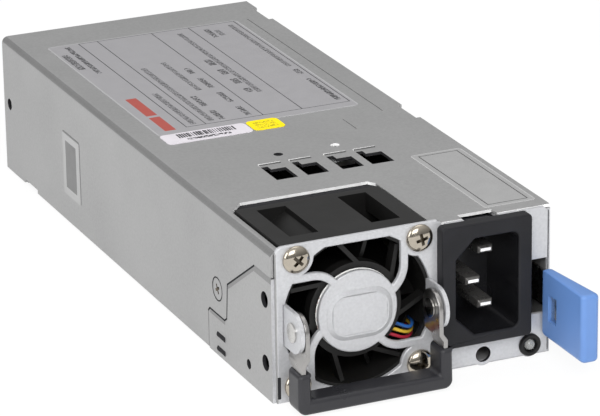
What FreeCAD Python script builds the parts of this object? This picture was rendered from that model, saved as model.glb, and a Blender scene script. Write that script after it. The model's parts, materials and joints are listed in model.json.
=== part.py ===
"""Hot swap server power supply, built as a parametric FreeCAD document.

Frame: the origin is the middle of the base's bottom face, in millimetres.
+Y runs to the end that plugs into the server, so the handle end faces -Y.
+Z is up, and +X is to the right for someone who looks at the handle end.
"""
import FreeCAD, Part
import math
import os

import Sketcher
from FreeCAD import Rotation, Vector

doc = FreeCAD.newDocument("server_power_supply")


# --------------------------------------------------------------------------
# Sizes
# --------------------------------------------------------------------------

class Size:
    """A number that also knows the spreadsheet formula it comes from."""

    def __init__(self, value, text=None):
        self.value = float(value)
        self.text = text if text is not None else repr(self.value)

    @staticmethod
    def of(other):
        return other if isinstance(other, Size) else Size(other)

    def join(self, other, sign, value):
        other = Size.of(other)
        return Size(value(self.value, other.value), "(%s %s %s)" % (self.text, sign, other.text))

    def __add__(self, other):
        return self.join(other, "+", lambda a, b: a + b)

    def __radd__(self, other):
        return Size.of(other) + self

    def __sub__(self, other):
        return self.join(other, "-", lambda a, b: a - b)

    def __rsub__(self, other):
        return Size.of(other) - self

    def __mul__(self, other):
        return self.join(other, "*", lambda a, b: a * b)

    def __rmul__(self, other):
        return Size.of(other) * self

    def __truediv__(self, other):
        return self.join(other, "/", lambda a, b: a / b)

    def __neg__(self):
        return Size(-self.value, "(0 - %s)" % self.text)


def largest(first, second):
    """The larger of two lengths, which stays a formula."""
    first, second = Size.of(first), Size.of(second)
    return Size(max(first.value, second.value), "max(%s; %s)" % (first.text, second.text))


class Sheet:
    """The document's spreadsheet: one row and one alias for each driving size."""

    def __init__(self):
        self.table = doc.addObject("Spreadsheet::Sheet", "sizes")
        self.row = 0

    def size(self, alias, number):
        self.row += 1
        cell = "B%d" % self.row
        self.table.set("A%d" % self.row, alias)
        self.table.set(cell, str(number))
        self.table.setAlias(cell, alias)
        return Size(number, "sizes.%s" % alias)


sheet = Sheet()
size = sheet.size

# the case
case_long = size("case_long", 185.0)
case_wide = size("case_wide", 73.5)
case_high = size("case_high", 38.3)
tray_gauge = size("tray_gauge", 1.0)
cover_gauge = size("cover_gauge", 0.8)
fold_round = size("fold_round", 1.8)
seam_gap = size("seam_gap", 0.15)
seat_gap = size("seat_gap", 0.3)

# the fan and the guard plate in front of it
fan_gap = size("fan_gap", 1.95)
fan_side = size("fan_side", 38.0)
fan_deep = size("fan_deep", 28.0)
fan_wall = size("fan_wall", 0.9)
screw_inset = size("screw_inset", 3.0)
fan_hub = size("fan_hub", 10.6)
cup_gauge = size("cup_gauge", 1.2)
magnet_gauge = size("magnet_gauge", 1.0)
magnet_long = size("magnet_long", 9.5)
stator_inset = size("stator_inset", 2.9)
stator_long = size("stator_long", 10.0)
blade_gap = size("blade_gap", 0.5)
vane_room = size("vane_room", 6.1)
shaft_radius = size("shaft_radius", 1.5)
shaft_fit = size("shaft_fit", 0.03)
guard_gauge = size("guard_gauge", 1.0)
guard_rise = size("guard_rise", 0.5)
guard_lap_left = size("guard_lap_left", 2.1)
guard_lap_right = size("guard_lap_right", 3.2)
ear_step = size("ear_step", 0.25)
opening_lap = size("opening_lap", 0.4)
guard_disc = size("guard_disc", 10.35)
spoke_wide = size("spoke_wide", 2.0)
fan_screw = size("fan_screw", 1.25)

# the handle and its ears
ear_span = size("ear_span", 36.5)
ear_gauge = size("ear_gauge", 1.0)
ear_round = size("ear_round", 5.1)
pivot_out = size("pivot_out", 4.9)
pivot_drop = size("pivot_drop", 0.2)
arm_gauge = size("arm_gauge", 1.2)
arm_round = size("arm_round", 4.6)
arm_gap = size("arm_gap", 0.3)
grip_lap = size("grip_lap", 1.85)
grip_deep = size("grip_deep", 6.9)
grip_leg = size("grip_leg", 3.3)
grip_bar = size("grip_bar", 3.7)
grip_high = size("grip_high", 10.3)
grip_foot = size("grip_foot", 0.4)
rivet_radius = size("rivet_radius", 1.5)
rivet_head = size("rivet_head", 2.4)
rivet_fit = size("rivet_fit", 0.06)
grip_back_gap = size("grip_back_gap", 3.5)

# the mains inlet
inlet_lap = size("inlet_lap", 1.4)
inlet_margin = size("inlet_margin", 6.75)
inlet_foot = size("inlet_foot", 7.0)
inlet_proud = size("inlet_proud", 3.0)
inlet_deep = size("inlet_deep", 18.5)
neck_step = size("neck_step", 1.6)
socket_wall = size("socket_wall", 3.6)
socket_lintel = size("socket_lintel", 3.3)
socket_drop = size("socket_drop", 0.55)
socket_key = size("socket_key", 5.0)
socket_deep = size("socket_deep", 17.0)
pin_pitch = size("pin_pitch", 14.0)
pin_step = size("pin_step", 4.0)
pin_wide = size("pin_wide", 4.0)
pin_thick = size("pin_thick", 2.0)

# the release latch
latch_gauge = size("latch_gauge", 0.8)
latch_stand = size("latch_stand", 0.95)
latch_level = size("latch_level", 17.3)
latch_long = size("latch_long", 42.0)
latch_high = size("latch_high", 9.0)
tab_high = size("tab_high", 17.4)
tab_drop = size("tab_drop", 3.1)
tab_long = size("tab_long", 22.0)
tab_thin = size("tab_thin", 2.6)
tab_thick = size("tab_thick", 4.9)
tab_gap = size("tab_gap", 1.3)

# the circuit board and its parts
board_thick = size("board_thick", 1.6)
board_level = size("board_level", 5.0)
board_gap = size("board_gap", 1.75)
lead_room = size("lead_room", 4.0)
edge_reach = size("edge_reach", 7.5)
edge_wide = size("edge_wide", 52.0)
edge_setback = size("edge_setback", 6.0)
key_low = size("key_low", 1.4)
key_high = size("key_high", 3.2)

# smaller features
panel_foot = size("panel_foot", 0.7)
panel_gap = size("panel_gap", 0.85)
roof_notch_left = size("roof_notch_left", 4.75)
roof_notch_right = size("roof_notch_right", 4.45)
latch_slot_below = size("latch_slot_below", 6.4)
latch_slot_above = size("latch_slot_above", 7.8)
tooth_reach = size("tooth_reach", 1.7)
latch_rivet = size("latch_rivet", 1.2)
flange_hole_shift = size("flange_hole_shift", 0.35)
flange_hole_level = size("flange_hole_level", 2.9)
flange_hole_radius = size("flange_hole_radius", 2.0)
led_inset = size("led_inset", 5.9)
led_level = size("led_level", 3.2)
led_holder_radius = size("led_holder_radius", 2.85)
led_radius = size("led_radius", 1.45)
bearing_radius = size("bearing_radius", 2.6)
vent_cell = size("vent_cell", 2.3)
vent_pitch = size("vent_pitch", 5.2)
fan_lead_radius = size("fan_lead_radius", 0.55)
inlet_lead_radius = size("inlet_lead_radius", 1.3)
skirt_hole = size("skirt_hole", 1.6)
scribe_wide = size("scribe_wide", 0.3)
scribe_deep = size("scribe_deep", 0.15)

# places that follow from the sizes
left = -case_wide / 2
right = case_wide / 2
front = -case_long / 2
rear = case_long / 2
fan_x = left + tray_gauge + fan_gap + fan_side / 2
fan_level = tray_gauge + fan_side / 2
fan_pitch = fan_side - 2 * screw_inset
fan_bore = fan_side / 2 - fan_wall
motor_base = fan_bore - vane_room
guard_left = largest(fan_side / 2, ear_span / 2 + ear_gauge - ear_step) + guard_lap_left
guard_right = largest(fan_side / 2, ear_span / 2 + ear_gauge - ear_step) + guard_lap_right
guard_high = tray_gauge + fan_side + guard_rise
guard_opening = fan_side / 2 + opening_lap
panel_back = front + guard_gauge
board_top = board_level + board_thick
ceiling = case_high - cover_gauge
pivot_y = front - pivot_out
pivot_level = fan_level - pivot_drop
grip_wide = ear_span + 2 * grip_lap
grip_back = front - grip_back_gap
panel_left = fan_x + guard_right + panel_gap
panel_top = case_high - 0.1
inlet_left = fan_x + guard_right - inlet_lap
inlet_wide = right - inlet_margin - inlet_left
inlet_high = panel_top - inlet_foot
inlet_x = inlet_left + inlet_wide / 2
inlet_level = inlet_foot + inlet_high / 2
neck_wide = inlet_wide - 2 * neck_step
neck_high = inlet_high - 2 * neck_step
socket_wide = inlet_wide - 2 * socket_wall
socket_high = inlet_high - 2 * socket_lintel
socket_level = inlet_level - socket_drop
roof_notch_low = inlet_x - roof_notch_left
roof_notch_high = inlet_x + roof_notch_right
flange_hole_x = inlet_x + flange_hole_shift
led_x = right - led_inset
latch_x = right - tray_gauge - latch_stand
latch_root_y = front + latch_long
tab_level = latch_level - tab_drop
board_wide = case_wide - 2 * (tray_gauge + board_gap)
board_start = guard_gauge + fan_deep + lead_room
board_front = front + board_start
header_x = board_wide * 0.1325
header_y = board_front + 2.5


# --------------------------------------------------------------------------
# Tools for the document
# --------------------------------------------------------------------------

PARTS = []
AXES = {"x": Rotation(Vector(0, 1, 0), 90), "y": Rotation(Vector(1, 0, 0), -90), "z": Rotation()}
PLANES = {"XY": "XY_Plane", "XZ": "XZ_Plane", "YZ": "YZ_Plane"}


def bind(target, prop, value):
    target.setExpression(prop, Size.of(value).text)


def place(target, corner):
    for axis, value in zip("xyz", corner):
        bind(target, "Placement.Base." + axis, value)
    return target


def box(name, low, high):
    """A block between two corners."""
    block = doc.addObject("Part::Box", name)
    for prop, start, end in zip(("Length", "Width", "Height"), low, high):
        bind(block, prop, Size.of(end) - start)
    return place(block, low)


def rod(name, axis, start, radius, length, angle=None, turn=None):
    """A cylinder that starts at a point and runs along +x, +y or +z."""
    bar = doc.addObject("Part::Cylinder", name)
    bind(bar, "Radius", radius)
    bind(bar, "Height", length)
    if angle is not None:
        bar.Angle = angle
    bar.Placement.Rotation = AXES[axis] if turn is None else AXES[axis].multiply(Rotation(Vector(0, 0, 1), turn))
    return place(bar, start)


def cone(name, axis, start, radius, end_radius, length):
    horn = doc.addObject("Part::Cone", name)
    bind(horn, "Radius1", radius)
    bind(horn, "Radius2", end_radius)
    bind(horn, "Height", length)
    horn.Placement.Rotation = AXES[axis]
    return place(horn, start)


def fuse(name, *shapes):
    joined = doc.addObject("Part::MultiFuse", name)
    joined.Shapes = list(shapes)
    joined.Refine = True
    return joined


def group(name, *shapes):
    """Separate solids that share one node."""
    bundle = doc.addObject("Part::Compound", name)
    bundle.Links = list(shapes)
    return bundle


def cut(name, base, *tools):
    result = doc.addObject("Part::Cut", name)
    result.Base = base
    result.Tool = tools[0] if len(tools) == 1 else fuse(name + "_tools", *tools)
    result.Refine = True
    return result


def common(name, *shapes):
    shared = doc.addObject("Part::MultiCommon", name)
    shared.Shapes = list(shapes)
    return shared


def outline(name, plane, points, level):
    """A closed sketch whose corners are held by dimensions from the sheet."""
    sketch = doc.addObject("Sketcher::SketchObject", name)
    turns = {"XY": Rotation(), "XZ": Rotation(Vector(1, 0, 0), 90), "YZ": Rotation(Vector(1, 1, 1), 120)}
    offset = {"XY": "z", "XZ": "y", "YZ": "x"}[plane]
    sketch.Placement = FreeCAD.Placement(Vector(), turns[plane])
    bind(sketch, "Placement.Base." + offset, level)
    draw_corners(sketch, points)
    return sketch


def draw_corners(sketch, points):
    corners = [(Size.of(u), Size.of(v)) for u, v in points]
    count = len(corners)
    for index in range(count):
        here = corners[index]
        there = corners[(index + 1) % count]
        sketch.addGeometry(Part.LineSegment(Vector(here[0].value, here[1].value, 0),
                                            Vector(there[0].value, there[1].value, 0)))
    for index in range(count):
        sketch.addConstraint(Sketcher.Constraint("Coincident", index, 2, (index + 1) % count, 1))
    for index, corner in enumerate(corners):
        for kind, value in zip(("DistanceX", "DistanceY"), corner):
            if abs(value.value) < 1e-9:
                point_on = -2 if kind == "DistanceX" else -1
                sketch.addConstraint(Sketcher.Constraint("PointOnObject", index, 1, point_on))
                continue
            number = sketch.addConstraint(Sketcher.Constraint(kind, -1, 1, index, 1, value.value))
            bind(sketch, "Constraints[%d]" % number, value)


def prism(name, plane, points, low, high):
    """A sketch pulled from one level to another along the plane's normal."""
    profile = outline(name + "_outline", plane, points, low if plane != "XZ" else high)
    solid = doc.addObject("Part::Extrusion", name)
    solid.Base = profile
    solid.DirMode = "Normal"
    solid.Solid = True
    bind(solid, "LengthFwd", Size.of(high) - low)
    return solid


def round_edges(name, base, radius, choose):
    """A fillet on the edges that a test picks."""
    doc.recompute()
    found = [n + 1 for n, edge in enumerate(base.Shape.Edges) if choose(edge)]
    if not found:
        raise RuntimeError("no edge to round on " + name)
    soft = doc.addObject("Part::Fillet", name)
    soft.Base = base
    soft.Edges = [(n, Size.of(radius).value, Size.of(radius).value) for n in found]
    return soft


def runs_along(edge, axis):
    """True for a straight edge that is parallel to an axis."""
    if edge.Curve.TypeId != "Part::GeomLine":
        return False
    return abs(abs(getattr(edge.Curve.Direction, axis)) - 1) < 1e-6


def node(label, solid):
    """Name a finished sub-part, which is also the name of its file."""
    solid.Label = label
    PARTS.append(solid)
    return solid


def body_plane(body, plane):
    for feature in body.Origin.OriginFeatures:
        if feature.Role == PLANES[plane]:
            return feature
    raise RuntimeError("no plane " + plane)


def body_sketch(body, name, plane, level, points):
    sketch = body.newObject("Sketcher::SketchObject", name)
    sketch.AttachmentSupport = (body_plane(body, plane), [""])
    sketch.MapMode = "FlatFace"
    bind(sketch, "AttachmentOffset.Base.z", level)
    draw_corners(sketch, points)
    return sketch


# --------------------------------------------------------------------------
# The case
# --------------------------------------------------------------------------

skirt_setback = size("skirt_setback", 10.8)
skirt_end = guard_gauge + fan_deep + skirt_setback      # where the cover's left skirt stops, from the handle end
seam_high = size("seam_high", 31.6)       # the height of the seam at the handle end
hook_long = size("hook_long", 11.0)
hook_deep = size("hook_deep", 1.2)
hook_first = size("hook_first", 72.5)     # where the first hook starts, from the handle end
hook_last = size("hook_last", 18.4)       # where the last hook starts, from the rear end
notch_setback = size("notch_setback", 14.3)
notch_long = size("notch_long", 10.0)
notch_high = size("notch_high", 1.3)
screw_setback = size("screw_setback", 6.0)
screw_level = size("screw_level", 17.5)
screw_y = front + skirt_end - screw_setback


def seam_points(gap):
    """The stepped edge between the cover's left skirt and the tray's front cheek."""
    return [
        (panel_back, seam_high + gap),
        (front + skirt_end - 29.1, seam_high + gap),
        (front + skirt_end - 12.4 + gap, seam_high * 0.66),
        (front + skirt_end - 11.6 + gap, seam_high * 0.37),
        (front + skirt_end - 10.2 + gap, seam_high * 0.34 + gap),
        (front + skirt_end - 1.0 + gap, seam_high * 0.34 + gap),
        (front + skirt_end + gap, seam_high * 0.31 + gap),
    ]


def hook_slots():
    """Two short steps along the roof's right fold, where the tray's wall hooks over it."""
    return [box("roof_hook_%d" % number, (right - hook_deep, start, ceiling - 1),
                (right + 1, start + hook_long, case_high + 1))
            for number, start in enumerate((front + hook_first, rear - hook_last), 1)]


def base_tray():
    """Floor, right wall, low left wall and the left cheek beside the fan."""
    floor = box("tray_floor", (left + cover_gauge + seam_gap, panel_back, 0), (right, rear, tray_gauge))
    wall = box("tray_right_wall", (right - tray_gauge, panel_back, 0), (right, rear, ceiling - seam_gap))
    rim = box("tray_left_rim", (left + cover_gauge + seam_gap, front + 20, 0),
              (left + cover_gauge + seam_gap + tray_gauge, rear - tray_gauge - seat_gap, 8))
    top_edge = seam_points(-seam_gap)
    cheek_points = [(panel_back, 0)] + top_edge + [(front + skirt_end - seam_gap, 0)]
    cheek = prism("tray_cheek", "YZ", cheek_points, left, left + tray_gauge)
    shell = fuse("tray_shell", floor, wall, rim, cheek)
    cuts = [box("floor_notch", (left, rear - notch_setback - notch_long, -1), (left + 3, rear - notch_setback, 2))]
    for number, (along, up, radius) in enumerate(((5.0, 25.1, 2.0), (4.9, 9.0, 2.0), (15.1, 4.8, 1.25)), 1):
        cuts.append(rod("cheek_hole_%d" % number, "x", (left - 1, front + along, up), radius, 4))
    cuts.append(rod("cheek_screw_hole", "x", (left - 1, screw_y, screw_level), 1.6, 4))
    tooth = box("tooth_slot", (right - tray_gauge - 1, front + 12, latch_level - 4.2),
                (right + 1, front + 21, latch_level + 4.2))
    cuts.append(tooth)
    for number, along in enumerate(rivet_places()):
        cuts.append(rod("root_rivet_hole_%d" % number, "x", (right - 3, along, latch_level), latch_rivet, 6))
    holes = cut("tray_holes", shell, *cuts)
    louvres = []
    for number, up in enumerate((5.6, 1.9), 1):
        slot = rod("cheek_louvre_%d" % number, "y", (left + 0.55, front + skirt_end - 10.2, up), 0.9, 4.6)
        louvres.append(slot)
    domed = fuse("tray_louvres", holes, *louvres)
    return node("base_tray", domed)


def rivet_places():
    """How far along the right wall the latch's two rivets sit."""
    return [latch_root_y + along for along in (3.5, 8.5)]


def vent_slots():
    """Four square windows in the cover, each with a narrow leg towards the rear."""
    windows = []
    for number, (along, across) in enumerate(((21.4, 5.7), (29.7, 5.8), (39.2, 5.8), (47.3, 6.0)), 1):
        low_x = left + along
        body_cut = box("vent_window_%d" % number, (low_x, front + 45.5, ceiling - 1),
                       (low_x + across, front + 53.3, case_high + 1))
        leg_cut = box("vent_leg_%d" % number, (low_x, front + 45.5, ceiling - 1),
                      (low_x + 1.8, front + 55.6, case_high + 1))
        windows += [body_cut, leg_cut]
    return windows


def top_cover():
    """Top plate and full left skirt, bent from one sheet, cut away over the fan."""
    start = panel_back + 0.2
    top = box("cover_top", (left, start, ceiling), (right, rear, case_high))
    skirt_points = [(start, seam_high + seam_gap)] + seam_points(seam_gap)[1:]
    skirt_points += [(front + skirt_end + seam_gap, 0.3), (rear, 0.3), (rear, case_high), (start, case_high)]
    skirt = prism("cover_skirt", "YZ", skirt_points, left, left + cover_gauge)
    lip = box("cover_lip", (right - tray_gauge - seam_gap - cover_gauge, front + 60, ceiling - 5),
              (right - tray_gauge - seam_gap, rear - 4, case_high))
    shell = fuse("cover_shell", top, skirt, lip)
    folded = round_edges("cover_folded", shell, fold_round,
                         lambda edge: runs_along(edge, "y")
                         and edge.CenterOfMass.z > case_high.value - 0.01
                         and edge.CenterOfMass.x < left.value + 0.01)
    low_x = fan_x - fan_side / 2 - 0.35
    high_x = fan_x + fan_side / 2 + 1.15
    notch_end = panel_back + fan_deep + 5.8
    notch = [(low_x, front - 1), (low_x, notch_end - 5), (low_x + 4.2, notch_end),
             (high_x - 1.3, notch_end), (high_x, notch_end - 2), (high_x, front - 1)]
    opening = prism("fan_notch", "XY", notch, ceiling - 1, case_high + 1)
    tabs = box("panel_notch", (roof_notch_low, front - 1, ceiling - 1), (roof_notch_high, front + 4.0, case_high + 1))
    cuts = [opening, tabs] + vent_slots()
    cuts += hook_slots()
    cuts.append(box("skirt_notch", (left - 1, rear - notch_setback - notch_long, -1),
                    (left + cover_gauge, rear - notch_setback, notch_high)))
    for number, across in enumerate((29.3, 44.9), 1):
        cuts.append(rod("cover_dimple_%d" % number, "z", (left + across, front + 62.7, ceiling - 1), 1.2, 4))
    cuts.append(cone("cover_screw_seat", "x", (left, screw_y, screw_level), 3.05, 1.65, cover_gauge))
    cuts.append(rod("skirt_hole", "x", (left - 1, rear - 4.3, fan_level), skirt_hole, cover_gauge + 1))
    scribes = ((6.5, rear - 103.6, rear - 15.4), (18.5, front + 71.6, front + 79.9))
    for number, (inset, start, end) in enumerate(scribes, 1):
        low_x = right - inset - scribe_wide / 2
        cuts.append(box("cover_scribe_%d" % number, (low_x, start, case_high - scribe_deep),
                        (low_x + scribe_wide, end, case_high + 1)))
    trimmed = cut("cover_trimmed", folded, *cuts)
    ribs = []
    for number, along in enumerate((21.4, 29.7, 39.2, 47.3), 1):
        rib = rod("vent_lip_%d" % number, "x", (left + along, front + 57.0, case_high - 0.25), 0.55, 5.9)
        ribs.append(rib)
    return node("top_cover", fuse("cover_ribbed", trimmed, *ribs))


def front_panel():
    """The sheet that carries the inlet, the latch slot and the indicator."""
    body = doc.addObject("PartDesign::Body", "panel_body")
    outer = [(panel_left, panel_foot), (right - 0.9, panel_foot), (right - 0.9, panel_top - 1.2),
             (right - 2.1, panel_top), (panel_left, panel_top)]
    blank = body_sketch(body, "panel_blank", "XZ", -panel_back, outer)
    pad = body.newObject("PartDesign::Pad", "panel_sheet")
    pad.Profile = blank
    bind(pad, "Length", guard_gauge)
    windows = {
        "inlet_window": (inlet_x - neck_wide / 2 - seam_gap, inlet_level - neck_high / 2 - seam_gap,
                         inlet_x + neck_wide / 2 + seam_gap, inlet_level + neck_high / 2 + seam_gap),
        "latch_window": (right - 6.4, latch_level - latch_slot_below, right - tray_gauge - 0.3,
                         latch_level + latch_slot_above),
        "roof_window": (roof_notch_low, panel_top - 1.6, roof_notch_high, panel_top + 1),
        "strip_window": (right - 9.1, panel_top - 1.2, right - 8.5, panel_top + 1),
    }
    for name, (low_x, low_z, high_x, high_z) in windows.items():
        sketch = body_sketch(body, name, "XZ", -front, [
            (low_x, low_z), (high_x, low_z), (high_x, high_z), (low_x, high_z)])
        pocket = body.newObject("PartDesign::Pocket", name + "_cut")
        pocket.Profile = sketch
        pocket.Type = "ThroughAll"
        body.Tip = pocket
    lobes = [rod("panel_lobe_%d" % number, "y", (across, front, up), radius, guard_gauge)
             for number, (across, up, radius) in enumerate(
                 ((flange_hole_x, flange_hole_level, flange_hole_level), (led_x, led_level, led_level)), 1)]
    flange_top = ceiling - seam_gap
    flanges = [box("panel_flange_%d" % number, (start, front + 0.5, flange_top - 0.7), (end, front + 6.0, flange_top))
               for number, (start, end) in enumerate(((panel_left + 0.3, roof_notch_low - 0.2),
                                                      (roof_notch_high + 0.2, right - 9.3)), 1)]
    low_return = box("panel_foot_return", (panel_left, front + 0.5, tray_gauge),
                     (panel_left + 7.0, front + 8.0, tray_gauge + 0.8))
    sheet_metal = fuse("panel_joined", body, low_return, *(lobes + flanges))
    holes = [rod("flange_hole", "y", (flange_hole_x, front - 1, flange_hole_level), flange_hole_radius, 4),
             rod("led_hole", "y", (led_x, front - 1, led_level), led_holder_radius - 0.75 + 0.1, 4)]
    return node("front_panel", cut("panel_finished", sheet_metal, *holes))


def rear_panel():
    """The airflow outlet: a field of six-sided holes above the slot for the board's edge."""
    low_x = left + cover_gauge + seam_gap
    high_x = right - tray_gauge
    plate = box("rear_plate", (low_x, rear - tray_gauge, tray_gauge), (high_x, rear, ceiling - seam_gap))
    cuts = [box("edge_slot", (-edge_wide / 2 - 1, rear - tray_gauge - 1, board_level - 1),
                (edge_wide / 2 + 1, rear + 1, board_top + 1))]
    for row in range(5):
        for column in range(12 - row % 2):
            hexagon = doc.addObject("Part::Prism", "vent_hex_%d_%d" % (row, column))
            hexagon.Polygon = 6
            bind(hexagon, "Circumradius", vent_cell)
            bind(hexagon, "Height", tray_gauge + 2)
            hexagon.Placement.Rotation = AXES["y"]
            place(hexagon, (vent_pitch * (column - 5.5 + 0.5 * (row % 2)), rear - tray_gauge - 1,
                            board_top + 5.6 + vent_pitch * 0.88 * row))
            cuts.append(hexagon)
    return node("rear_panel", cut("rear_finished", plate, *cuts))


# --------------------------------------------------------------------------
# The fan
# --------------------------------------------------------------------------

def around_fan(radius, degrees):
    """A place on a circle round the fan's axis, as x and z."""
    angle = math.radians(degrees)
    return fan_x + Size.of(radius) * math.cos(angle), fan_level + Size.of(radius) * math.sin(angle)


def ordered(first, second):
    """Two places, the lower one first."""
    return (first, second) if first.value < second.value else (second, first)


def fan_corners(pitch):
    return [(fan_x + sign_x * pitch / 2, fan_level + sign_z * pitch / 2)
            for sign_x in (-1, 1) for sign_z in (-1, 1)]


def spoke(name, turn):
    """One arm of the pinwheel and its opposite: a straight strip that bends in to the disc."""
    pieces = []
    for number, half_turn in enumerate((0, 180)):
        side = math.cos(math.radians(half_turn))
        if turn == "level":
            low_x, high_x = ordered(fan_x - 11.5 * side, fan_x - (guard_opening + 0.2) * side)
            strip = box("%s_strip_%d" % (name, number),
                        (low_x, front, fan_level + 10.7 * side - spoke_wide / 2),
                        (high_x, panel_back, fan_level + 10.7 * side + spoke_wide / 2))
            bend_x, bend_z, bend_radius, start = fan_x - 11.5 * side, fan_level + 3.7 * side, 7.0, 40 + half_turn
            sweep = 50
        else:
            low_z, high_z = ordered(fan_level + 10 * side, fan_level + fan_side / 2 * side)
            strip = box("%s_strip_%d" % (name, number),
                        (fan_x + 12.3 * side - spoke_wide / 2, front, low_z),
                        (fan_x + 12.3 * side + spoke_wide / 2, panel_back, high_z))
            bend_x, bend_z, bend_radius, start = fan_x + 4.3 * side, fan_level + 10.0 * side, 8.0, 300 + half_turn
            sweep = 60
        outer = rod("%s_bend_%d" % (name, number), "y", (bend_x, front, bend_z),
                    bend_radius + spoke_wide / 2, guard_gauge, angle=sweep, turn=-start - sweep)
        inner = rod("%s_bore_%d" % (name, number), "y", (bend_x, front - 1, bend_z),
                    bend_radius - spoke_wide / 2, guard_gauge + 2)
        pieces += [strip, cut("%s_curve_%d" % (name, number), outer, inner)]
    return pieces


def fan_guard():
    """Stamped plate with a pinwheel finger guard and two ears bent forward for the handle."""
    plate = box("guard_plate", (fan_x - guard_left, front, 0), (fan_x + guard_right, panel_back, guard_high))
    plate = round_edges("guard_rounded", plate, 1.8,
                        lambda edge: runs_along(edge, "y") and edge.CenterOfMass.z > guard_high.value - 0.01)
    disc = rod("opening_disc", "y", (fan_x, front - 1, fan_level), guard_opening, guard_gauge + 2)
    band = box("opening_band", (fan_x - guard_left, front - 1, fan_level - fan_side / 2 + 0.4),
               (fan_x + guard_right, panel_back + 1, fan_level + fan_side / 2 - 1.5))
    opening = common("opening_blank", disc, band)
    keep = [rod("hub_disc", "y", (fan_x, front - 2, fan_level), guard_disc, guard_gauge + 4)]
    for number, (across, up) in enumerate(fan_corners(fan_pitch)):
        keep.append(rod("screw_pad_%d" % number, "y", (across, front - 2, up), 4.8, guard_gauge + 4))
    for name, sign in (("left", -1), ("right", 1)):
        low_x, high_x = ordered(fan_x + sign * ear_span / 2, fan_x + sign * (ear_span / 2 + 4))
        keep.append(box("ear_strip_" + name, (low_x, front - 2, pivot_level - ear_round),
                        (high_x, panel_back + 2, pivot_level + ear_round)))
    arms = spoke("level_spoke", "level") + spoke("upright_spoke", "upright")
    window = cut("guard_window", opening, *keep)
    pierced = cut("guard_pierced", plate, window)
    emboss = box("hub_emboss", (fan_x - 6.6, front - 0.4, fan_level - 5.4),
                 (fan_x + 7.4, front + 0.2, fan_level + 4.2))
    emboss = round_edges("hub_emboss_soft", emboss, 2.6, lambda edge: runs_along(edge, "y"))
    ears = []
    for name, sign in (("left", -1), ("right", 1)):
        low_x, high_x = ordered(fan_x + sign * ear_span / 2, fan_x + sign * (ear_span / 2 + ear_gauge))
        round_end = rod("ear_round_" + name, "x", (low_x, pivot_y, pivot_level), ear_round, ear_gauge)
        root = box("ear_root_" + name, (low_x, pivot_y, pivot_level - ear_round),
                   (high_x, front + 0.5, pivot_level + ear_round))
        ears += [round_end, root]
    joined = fuse("guard_joined", pierced, emboss, *(arms + ears))
    holes = [rod("guard_hole_%d" % number, "y", (across, front - 1, up), fan_screw + 0.35, guard_gauge + 2)
             for number, (across, up) in enumerate(fan_corners(fan_pitch))]
    holes.append(rod("ear_holes", "x", (fan_x - ear_span / 2 - 3, pivot_y, pivot_level), rivet_radius, ear_span + 6))
    return node("fan_guard", cut("guard_finished", joined, *holes))


def fan_frame():
    """Square fan body: flared bore, corner pockets, motor base and seven swept vanes."""
    back = panel_back + fan_deep
    half = fan_side / 2
    block = box("fan_block", (fan_x - half, panel_back, fan_level - half), (fan_x + half, back, fan_level + half))
    pockets = []
    for side in range(4):
        across = side % 2 == 0
        sign = 1 if side < 2 else -1
        for number, hand in enumerate((-1, 1)):
            near, far = sorted((hand * 6.9, hand * 14.4))
            low, high = (half * 0.62, half + 1) if sign > 0 else (-half - 1, -half * 0.62)
            xs, zs = ((near, far), (low, high)) if across else ((low, high), (near, far))
            pockets.append(box("fan_pocket_%d_%d" % (side, number),
                               (fan_x + xs[0], panel_back + 5.9, fan_level + zs[0]),
                               (fan_x + xs[1], back - 2.6, fan_level + zs[1])))
    barrel = rod("fan_barrel", "y", (fan_x, panel_back, fan_level), fan_bore + 0.7, fan_deep)
    hollow = cut("fan_pockets", fuse("fan_pocket_blocks", *pockets), barrel)
    bore = rod("fan_bore_cut", "y", (fan_x, panel_back - 1, fan_level), fan_bore, fan_deep + 2)
    flare = cone("fan_flare", "y", (fan_x, panel_back - 0.01, fan_level), fan_bore + 0.5, fan_bore, 3)
    holes = [rod("fan_hole_%d" % number, "y", (across, panel_back - 1, up), fan_screw + 0.1, 11)
             for number, (across, up) in enumerate(fan_corners(fan_pitch))]
    shell = cut("fan_shell", block, hollow, bore, flare, *holes)
    base = rod("motor_base", "y", (fan_x, panel_back + 0.6, fan_level), motor_base, 2.8)
    tube = rod("bearing_tube", "y", (fan_x, panel_back + 0.6, fan_level), bearing_radius + 0.8, fan_deep - 10.5)
    vanes = []
    for number in range(7):
        turn = 80 + number * 360 / 7
        low_x, low_z = around_fan(motor_base - 0.8, turn)
        vane = doc.addObject("Part::Box", "vane_%d" % number)
        bind(vane, "Length", vane_room * 1.49 + 0.2)
        bind(vane, "Width", 3.0)
        bind(vane, "Height", 1.1)
        vane.Placement.Rotation = Rotation(Vector(0, 1, 0), -(turn + 51))
        vanes.append(place(vane, (low_x, panel_back + 0.6, low_z)))
    solid = fuse("fan_fused", shell, base, tube, *vanes)
    bearing_hole = rod("bearing_seat", "y", (fan_x, panel_back + 2.0, fan_level), bearing_radius, 20)
    lead_slot = box("lead_slot", (fan_x + 9.0, panel_back + 1.1, fan_level - 12.6),
                    (fan_x + half - 0.4, panel_back + 8, fan_level - 6.8))
    lead_run = box("lead_run", (fan_x + half - 2.0, panel_back + 5, fan_level - 12.6),
                   (fan_x + half + 0.1, back + 1, fan_level - 7.4))
    return node("fan_frame", cut("fan_finished", solid, bearing_hole, lead_slot, lead_run))


def fan_bearing():
    """Sintered sleeve that the fan's shaft runs in."""
    sleeve = rod("bearing_blank", "y", (fan_x, panel_back + 2.0, fan_level), bearing_radius, fan_deep - 12)
    hole = rod("bearing_bore", "y", (fan_x, panel_back + 1.0, fan_level), shaft_radius + shaft_fit, fan_deep - 10)
    return node("fan_bearing", cut("bearing_sleeve", sleeve, hole))


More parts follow.
